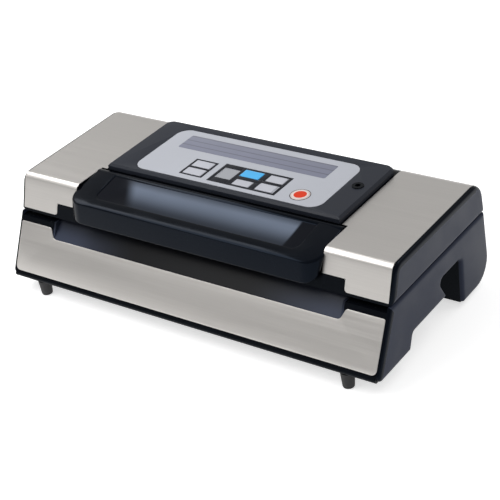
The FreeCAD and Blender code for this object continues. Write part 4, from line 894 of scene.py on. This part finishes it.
PANEL_TOP = 117.0
KEYS = {
    "key_mode_back": (-40.5, 13.0, 21, 11, "key_grey"),
    "key_mode_front": (-40.5, -1.5, 21, 11, "key_grey"),
    "key_start": (15.0, 14.3, 21, 12, "key_blue"),
    "key_seal": (15.8, -2.7, 18.5, 9.5, "key_grey"),
    "key_speed": (42.5, 14.5, 19, 10.5, "key_grey"),
    "key_food": (41.5, -1.4, 19, 11.5, "key_grey"),
}
STOP_KEY = (77.5, 0.0, 8.4)
STOP_DISC = 6.4
STOP_RINGS = (("stop_ring_pale", 8.6, 9.2, "ring"), ("stop_ring_dark", 9.2, 9.9, "ink"))
RING_STEPS = 64
STRIP = (-2.5, 46.5, 169, 25, 1.5)
STRIP_LOW, STRIP_HIGH, STRIP_EDGE = PANEL_TOP - 0.1, PANEL_TOP + 0.12, 0.05
INK_LOW, INK_HIGH, INK_EDGE = PANEL_TOP - 0.05, PANEL_TOP + 0.14, 0.04
BAR_RADIUS = 0.25
MODE_BARS = [
    (-53.6, -27.4, -9.2, -7.3), (-53.6, -27.4, 18.8, 20.7), (-53.6, -27.4, 4.3, 7.2),
    (-53.6, -51.3, -7.3, 4.3), (-53.6, -51.3, 7.2, 18.8),
    (-29.7, -27.4, -7.3, 4.3), (-29.7, -27.4, 7.2, 18.8),
]
CLUSTER_BARS = [
    (-20.4, -16.9, -10.4, 23.4), (0.5, 4.1, -10.4, 23.4), (-16.9, 0.5, 16.4, 23.4), (-16.9, 0.5, -10.4, -2.0),
    (4.1, 55.6, 20.7, 23.4), (25.9, 32.6, 8.2, 20.7), (4.1, 32.6, 2.5, 7.9), (4.1, 6.1, -8.0, 2.5),
    (25.5, 31.6, -8.0, 2.5), (4.1, 55.6, -10.4, -7.9), (52.4, 55.6, -7.9, 20.7), (32.6, 52.4, 4.8, 8.9),
]
CAP_FOOT, CAP_FLANGE, CAP_TOP = 112.7, 114.3, PANEL_TOP + 0.6
CAP_REACH, CAP_CORNER, CAP_LEAST_CORNER, CAP_EDGE, CAP_MARGIN = 1.2, 1.2, 0.2, 0.5, 1.4


class SEALER_OT_control_panel(bpy.types.Operator):
    """Softens the control panel's edges and lays the overlay's printed strip as a thin film"""

    bl_idname = "sealer.control_panel"
    bl_label = "Control panel"

    def execute(self, context):
        sizes, _ = settings()
        bezel = rounded_copy("control_bezel", sizes.bezel_edge, FINISHES["panel"])
        strip = tile(box_outline(*STRIP), soft_edge(STRIP_LOW, STRIP_HIGH, STRIP_EDGE, 3), upright)
        add_piece("printed_strip", "lid", [strip], FINISHES["strip"])
        return {"FINISHED"}


def ink_bars(bars):
    """Flat ink frame as thin plates, one for each bar (left, right, front, back) between the openings."""
    levels = soft_edge(INK_LOW, INK_HIGH, INK_EDGE, 3)
    return [tile(box_outline((x0 + x1) / 2, (y0 + y1) / 2, x1 - x0, y1 - y0, BAR_RADIUS, 3), levels, upright)
            for x0, x1, y0, y1 in bars]


class SEALER_OT_key_frames(bpy.types.Operator):
    """Lays the dark frames round the keys and the rings round the stop key"""

    bl_idname = "sealer.key_frames"
    bl_label = "Key frames"

    def execute(self, context):
        add_piece("mode_key_frame", "lid", ink_bars(MODE_BARS), FINISHES["ink"])
        add_piece("key_cluster_frame", "lid", ink_bars(CLUSTER_BARS), FINISHES["ink"])
        for name, inner, outer, finish in STOP_RINGS:
            profile = [(inner, INK_LOW), (outer, INK_LOW), (outer, INK_HIGH), (inner, INK_HIGH)]
            grid = turned(profile, STOP_KEY, RING_STEPS)
            add_piece(name, "lid", [(grid, True, True, False, False)], FINISHES[finish])
        return {"FINISHED"}


def cap_outline(name, inset):
    """Outline of a key cap, moved inwards."""
    if name == "key_stop":
        return circle_outline(STOP_KEY[0], STOP_KEY[1], STOP_KEY[2] - inset)
    x, y, width, depth, _ = KEYS[name]
    return box_outline(x, y, width - 2 * inset, depth - 2 * inset, max(CAP_CORNER - inset, CAP_LEAST_CORNER))


def outside_disc(centres):
    """Faces of the stop key's cap that lie outside its red disc."""
    return np.hypot(centres[:, 0] - STOP_KEY[0], centres[:, 1] - STOP_KEY[1]) > STOP_DISC


class SEALER_OT_keys(bpy.types.Operator):
    """Builds the seven key caps: round-edged outlines whose tops rise to a low crown"""

    bl_idname = "sealer.keys"
    bl_label = "Keys"

    def execute(self, context):
        sizes, _ = settings()
        crown = sizes.key_crown
        caps = {name: (min(key[2], key[3]) / 2, key[4]) for name, key in KEYS.items()}
        caps["key_stop"] = (STOP_KEY[2], "key_red")
        turn = np.linspace(0, math.pi / 2, 4)
        levels = [(-CAP_REACH, CAP_FOOT), (-CAP_REACH, CAP_FLANGE), (0, CAP_FLANGE)]
        levels += [(CAP_EDGE * (1 - math.cos(a)), CAP_TOP - crown - CAP_EDGE + CAP_EDGE * math.sin(a))
                   for a in turn]
        for name, (reach, finish) in caps.items():
            rise = [(CAP_EDGE + (reach - CAP_MARGIN) * s, CAP_TOP - crown + crown * (1 - (1 - s) ** 2))
                    for s in (0.25, 0.5, 0.8)]
            rings = []
            for inset, height in levels + rise:
                ring = cap_outline(name, inset)
                rings.append(upright(ring[:, 0], ring[:, 1], np.full(len(ring), height)))
            pale = (FINISHES["ring"], outside_disc) if name == "key_stop" else None
            add_piece(f"{name}_cap", name, [(np.stack(rings), False, True, True, False)], FINISHES[finish],
                      [name], pale)
        return {"FINISHED"}


# ---- feet --------------------------------------

FOOT_X, STUB_Y, PAD_Y, FOOT_STEPS = 174.4, -95.0, 66.4, 48
STUB = [(0.01, 0.0), (4.3, 0.0), (5.2, 0.5), (5.5, 1.5), (6.1, 9.5), (6.6, 15.5), (6.6, 16.0), (0.01, 16.0)]
PAD = [(0.01, 0.0), (8.0, 0.0), (8.8, 0.6), (9.0, 1.5), (9.0, 5.0), (0.01, 5.0)]


class SEALER_OT_feet(bpy.types.Operator):
    """Builds the feet: turned profiles, a tapered stub in front and a low pad behind"""

    bl_idname = "sealer.feet"
    bl_label = "Feet"

    def execute(self, context):
        for name, node, y, profile in (("front_stubs", "front_feet", STUB_Y, STUB),
                                       ("rear_pads_turned", "rear_pads", PAD_Y, PAD)):
            parts = [(turned(profile, (x, y), FOOT_STEPS), False, True, True, False)
                     for x in (-FOOT_X, FOOT_X)]
            add_piece(name, "base", parts, FINISHES["rubber"], [node])
        return {"FINISHED"}


# ---- stage -------------------------------------

CAMERA_PLACE = (0.719679, -0.884851, 0.728956)
CAMERA_RIGHT = (0.81811, 0.56269, -0.11862)
CAMERA_UP = (-0.20990, 0.48424, 0.84939)
CAMERA_BACK = (0.53538, -0.66999, 0.51427)
LENS, SENSOR, SHIFT_Y = 100.40, 36.0, -0.01336
FLOOR_HALF = 8
FLOOR_GLOW = 0.62
WORLD_FILL = 0.50
GLOSS_LOW, GLOSS_HIGH = 0.20, 0.60
LAMPS = (
    ("lamp_over", (-0.62, -0.28, 1.10), (0.0, 0.0, 0.08), 1.55, 0.60, 11.0),
    ("lamp_front", (-1.2, -1.9, 1.9), (0.0, 0.0, 0.05), 1.6, 1.2, 2.5),
    ("lamp_back", (0.9, 1.0, 1.9), (0.0, 0.0, 0.05), 1.2, 1.0, 7.0),
)


def white_rays(bench):
    """1 for rays from the camera, from gloss or through glass, and 0 for the light that falls on things."""
    path = bench.add("ShaderNodeLightPath")
    first = bench.math("MAXIMUM", path.outputs["Is Camera Ray"], path.outputs["Is Glossy Ray"])
    return bench.math("MAXIMUM", first, path.outputs["Is Transmission Ray"])


class SEALER_OT_stage(bpy.types.Operator):
    """Sets the pale floor, the soft lamps, the world and the camera"""

    bl_idname = "sealer.stage"
    bl_label = "Stage"

    def execute(self, context):
        scene = context.scene
        mesh = bpy.data.meshes.new("floor")
        far = FLOOR_HALF
        mesh.from_pydata([(-far, -far, 0), (far, -far, 0), (far, far, 0), (-far, far, 0)], [], [(0, 1, 2, 3)])
        floor = bpy.data.objects.new("floor", mesh)
        scene.collection.objects.link(floor)
        material = bpy.data.materials.new("floor_white")
        material.use_nodes = True
        tree = material.node_tree
        tree.nodes.clear()
        bench = Bench(tree)
        out = bench.add("ShaderNodeOutputMaterial")
        place = bench.add("ShaderNodeTexCoord").outputs["Object"]
        tone = bench.spread(bench.noise(place, 3.0), 0.2, 0.8, 0.80, 0.82)
        matt = bench.add("ShaderNodeBsdfDiffuse", {"Color": (0.8, 0.8, 0.8, 1)})
        joined = bench.add("ShaderNodeCombineColor", {0: tone, 1: tone, 2: tone})
        tree.links.new(joined.outputs[0], matt.inputs["Color"])
        strength = bench.math("MULTIPLY", white_rays(bench), FLOOR_GLOW)
        glow = bench.add("ShaderNodeEmission", {"Color": (1, 1, 1, 1), "Strength": strength})
        both = bench.add("ShaderNodeAddShader", {0: matt.outputs[0], 1: glow.outputs[0]})
        tree.links.new(both.outputs[0], out.inputs[0])
        mesh.materials.append(material)

        world = bpy.data.worlds.new("studio")
        scene.world = world
        world.use_nodes = True
        tree = world.node_tree
        tree.nodes.clear()
        bench = Bench(tree)
        out = bench.add("ShaderNodeOutputWorld")
        path = bench.add("ShaderNodeLightPath")
        facing = bench.add("ShaderNodeSeparateXYZ", {0: bench.add("ShaderNodeTexCoord").outputs["Generated"]})
        glossy = bench.spread(facing.outputs[1], -0.90, 0.40, GLOSS_LOW, GLOSS_HIGH)
        seen = bench.math("MAXIMUM", path.outputs["Is Camera Ray"], path.outputs["Is Transmission Ray"])
        level = bench.math("MAXIMUM", bench.math("MULTIPLY", path.outputs["Is Glossy Ray"], glossy), seen)
        level = bench.math("MAXIMUM", level, WORLD_FILL)
        shown = bench.add("ShaderNodeBackground", {"Color": (1, 1, 1, 1), "Strength": level})
        tree.links.new(shown.outputs[0], out.inputs[0])

        for name, place, aim, width, height, power in LAMPS:
            lamp = bpy.data.lights.new(name, "AREA")
            lamp.shape = "RECTANGLE"
            lamp.size, lamp.size_y, lamp.energy = width, height, power
            item = bpy.data.objects.new(name, lamp)
            item.location = place
            item.rotation_euler = (Vector(aim) - Vector(place)).to_track_quat("-Z", "Y").to_euler()
            scene.collection.objects.link(item)

        lens = bpy.data.cameras.new("camera")
        lens.lens, lens.sensor_width = LENS, SENSOR
        lens.shift_y = SHIFT_Y
        lens.clip_start, lens.clip_end = 0.05, 50.0
        camera = bpy.data.objects.new("camera", lens)
        turn = Matrix((CAMERA_RIGHT, CAMERA_UP, CAMERA_BACK)).transposed().to_4x4()
        camera.matrix_world = Matrix.Translation(CAMERA_PLACE) @ turn
        scene.collection.objects.link(camera)
        scene.camera = camera
        scene.view_settings.view_transform = "Standard"
        return {"FINISHED"}


# ---- panel and registration --------------------

OPERATORS = (SEALER_OT_node_finishes, SEALER_OT_end_covers, SEALER_OT_handle, SEALER_OT_window,
             SEALER_OT_lid_sheets, SEALER_OT_front_sheet, SEALER_OT_control_panel, SEALER_OT_key_frames,
             SEALER_OT_keys, SEALER_OT_feet, SEALER_OT_stage)


class SEALER_PT_panel(bpy.types.Panel):
    """Sizes, colours and builders of the sealer"""

    bl_idname = "SEALER_PT_panel"
    bl_label = "Vacuum sealer"
    bl_space_type = "VIEW_3D"
    bl_region_type = "UI"
    bl_category = "Sealer"

    def draw(self, context):
        for group in (context.scene.sealer_sizes, context.scene.sealer_colours):
            box = self.layout.box()
            for key in group.__annotations__:
                box.prop(group, key)
        for operator in OPERATORS:
            self.layout.operator(operator.bl_idname)


CLASSES = (SealerSizes, SealerColours, *OPERATORS, SEALER_PT_panel)


def register():
    for item in CLASSES:
        bpy.utils.register_class(item)
    bpy.types.Scene.sealer_sizes = bpy.props.PointerProperty(type=SealerSizes)
    bpy.types.Scene.sealer_colours = bpy.props.PointerProperty(type=SealerColours)


def unregister():
    del bpy.types.Scene.sealer_sizes
    del bpy.types.Scene.sealer_colours
    for item in reversed(CLASSES):
        bpy.utils.unregister_class(item)


def main():
    register()
    for operator in OPERATORS:
        group, name = operator.bl_idname.split(".")
        getattr(getattr(bpy.ops, group), name)()


if __name__ == "__main__":
    main()
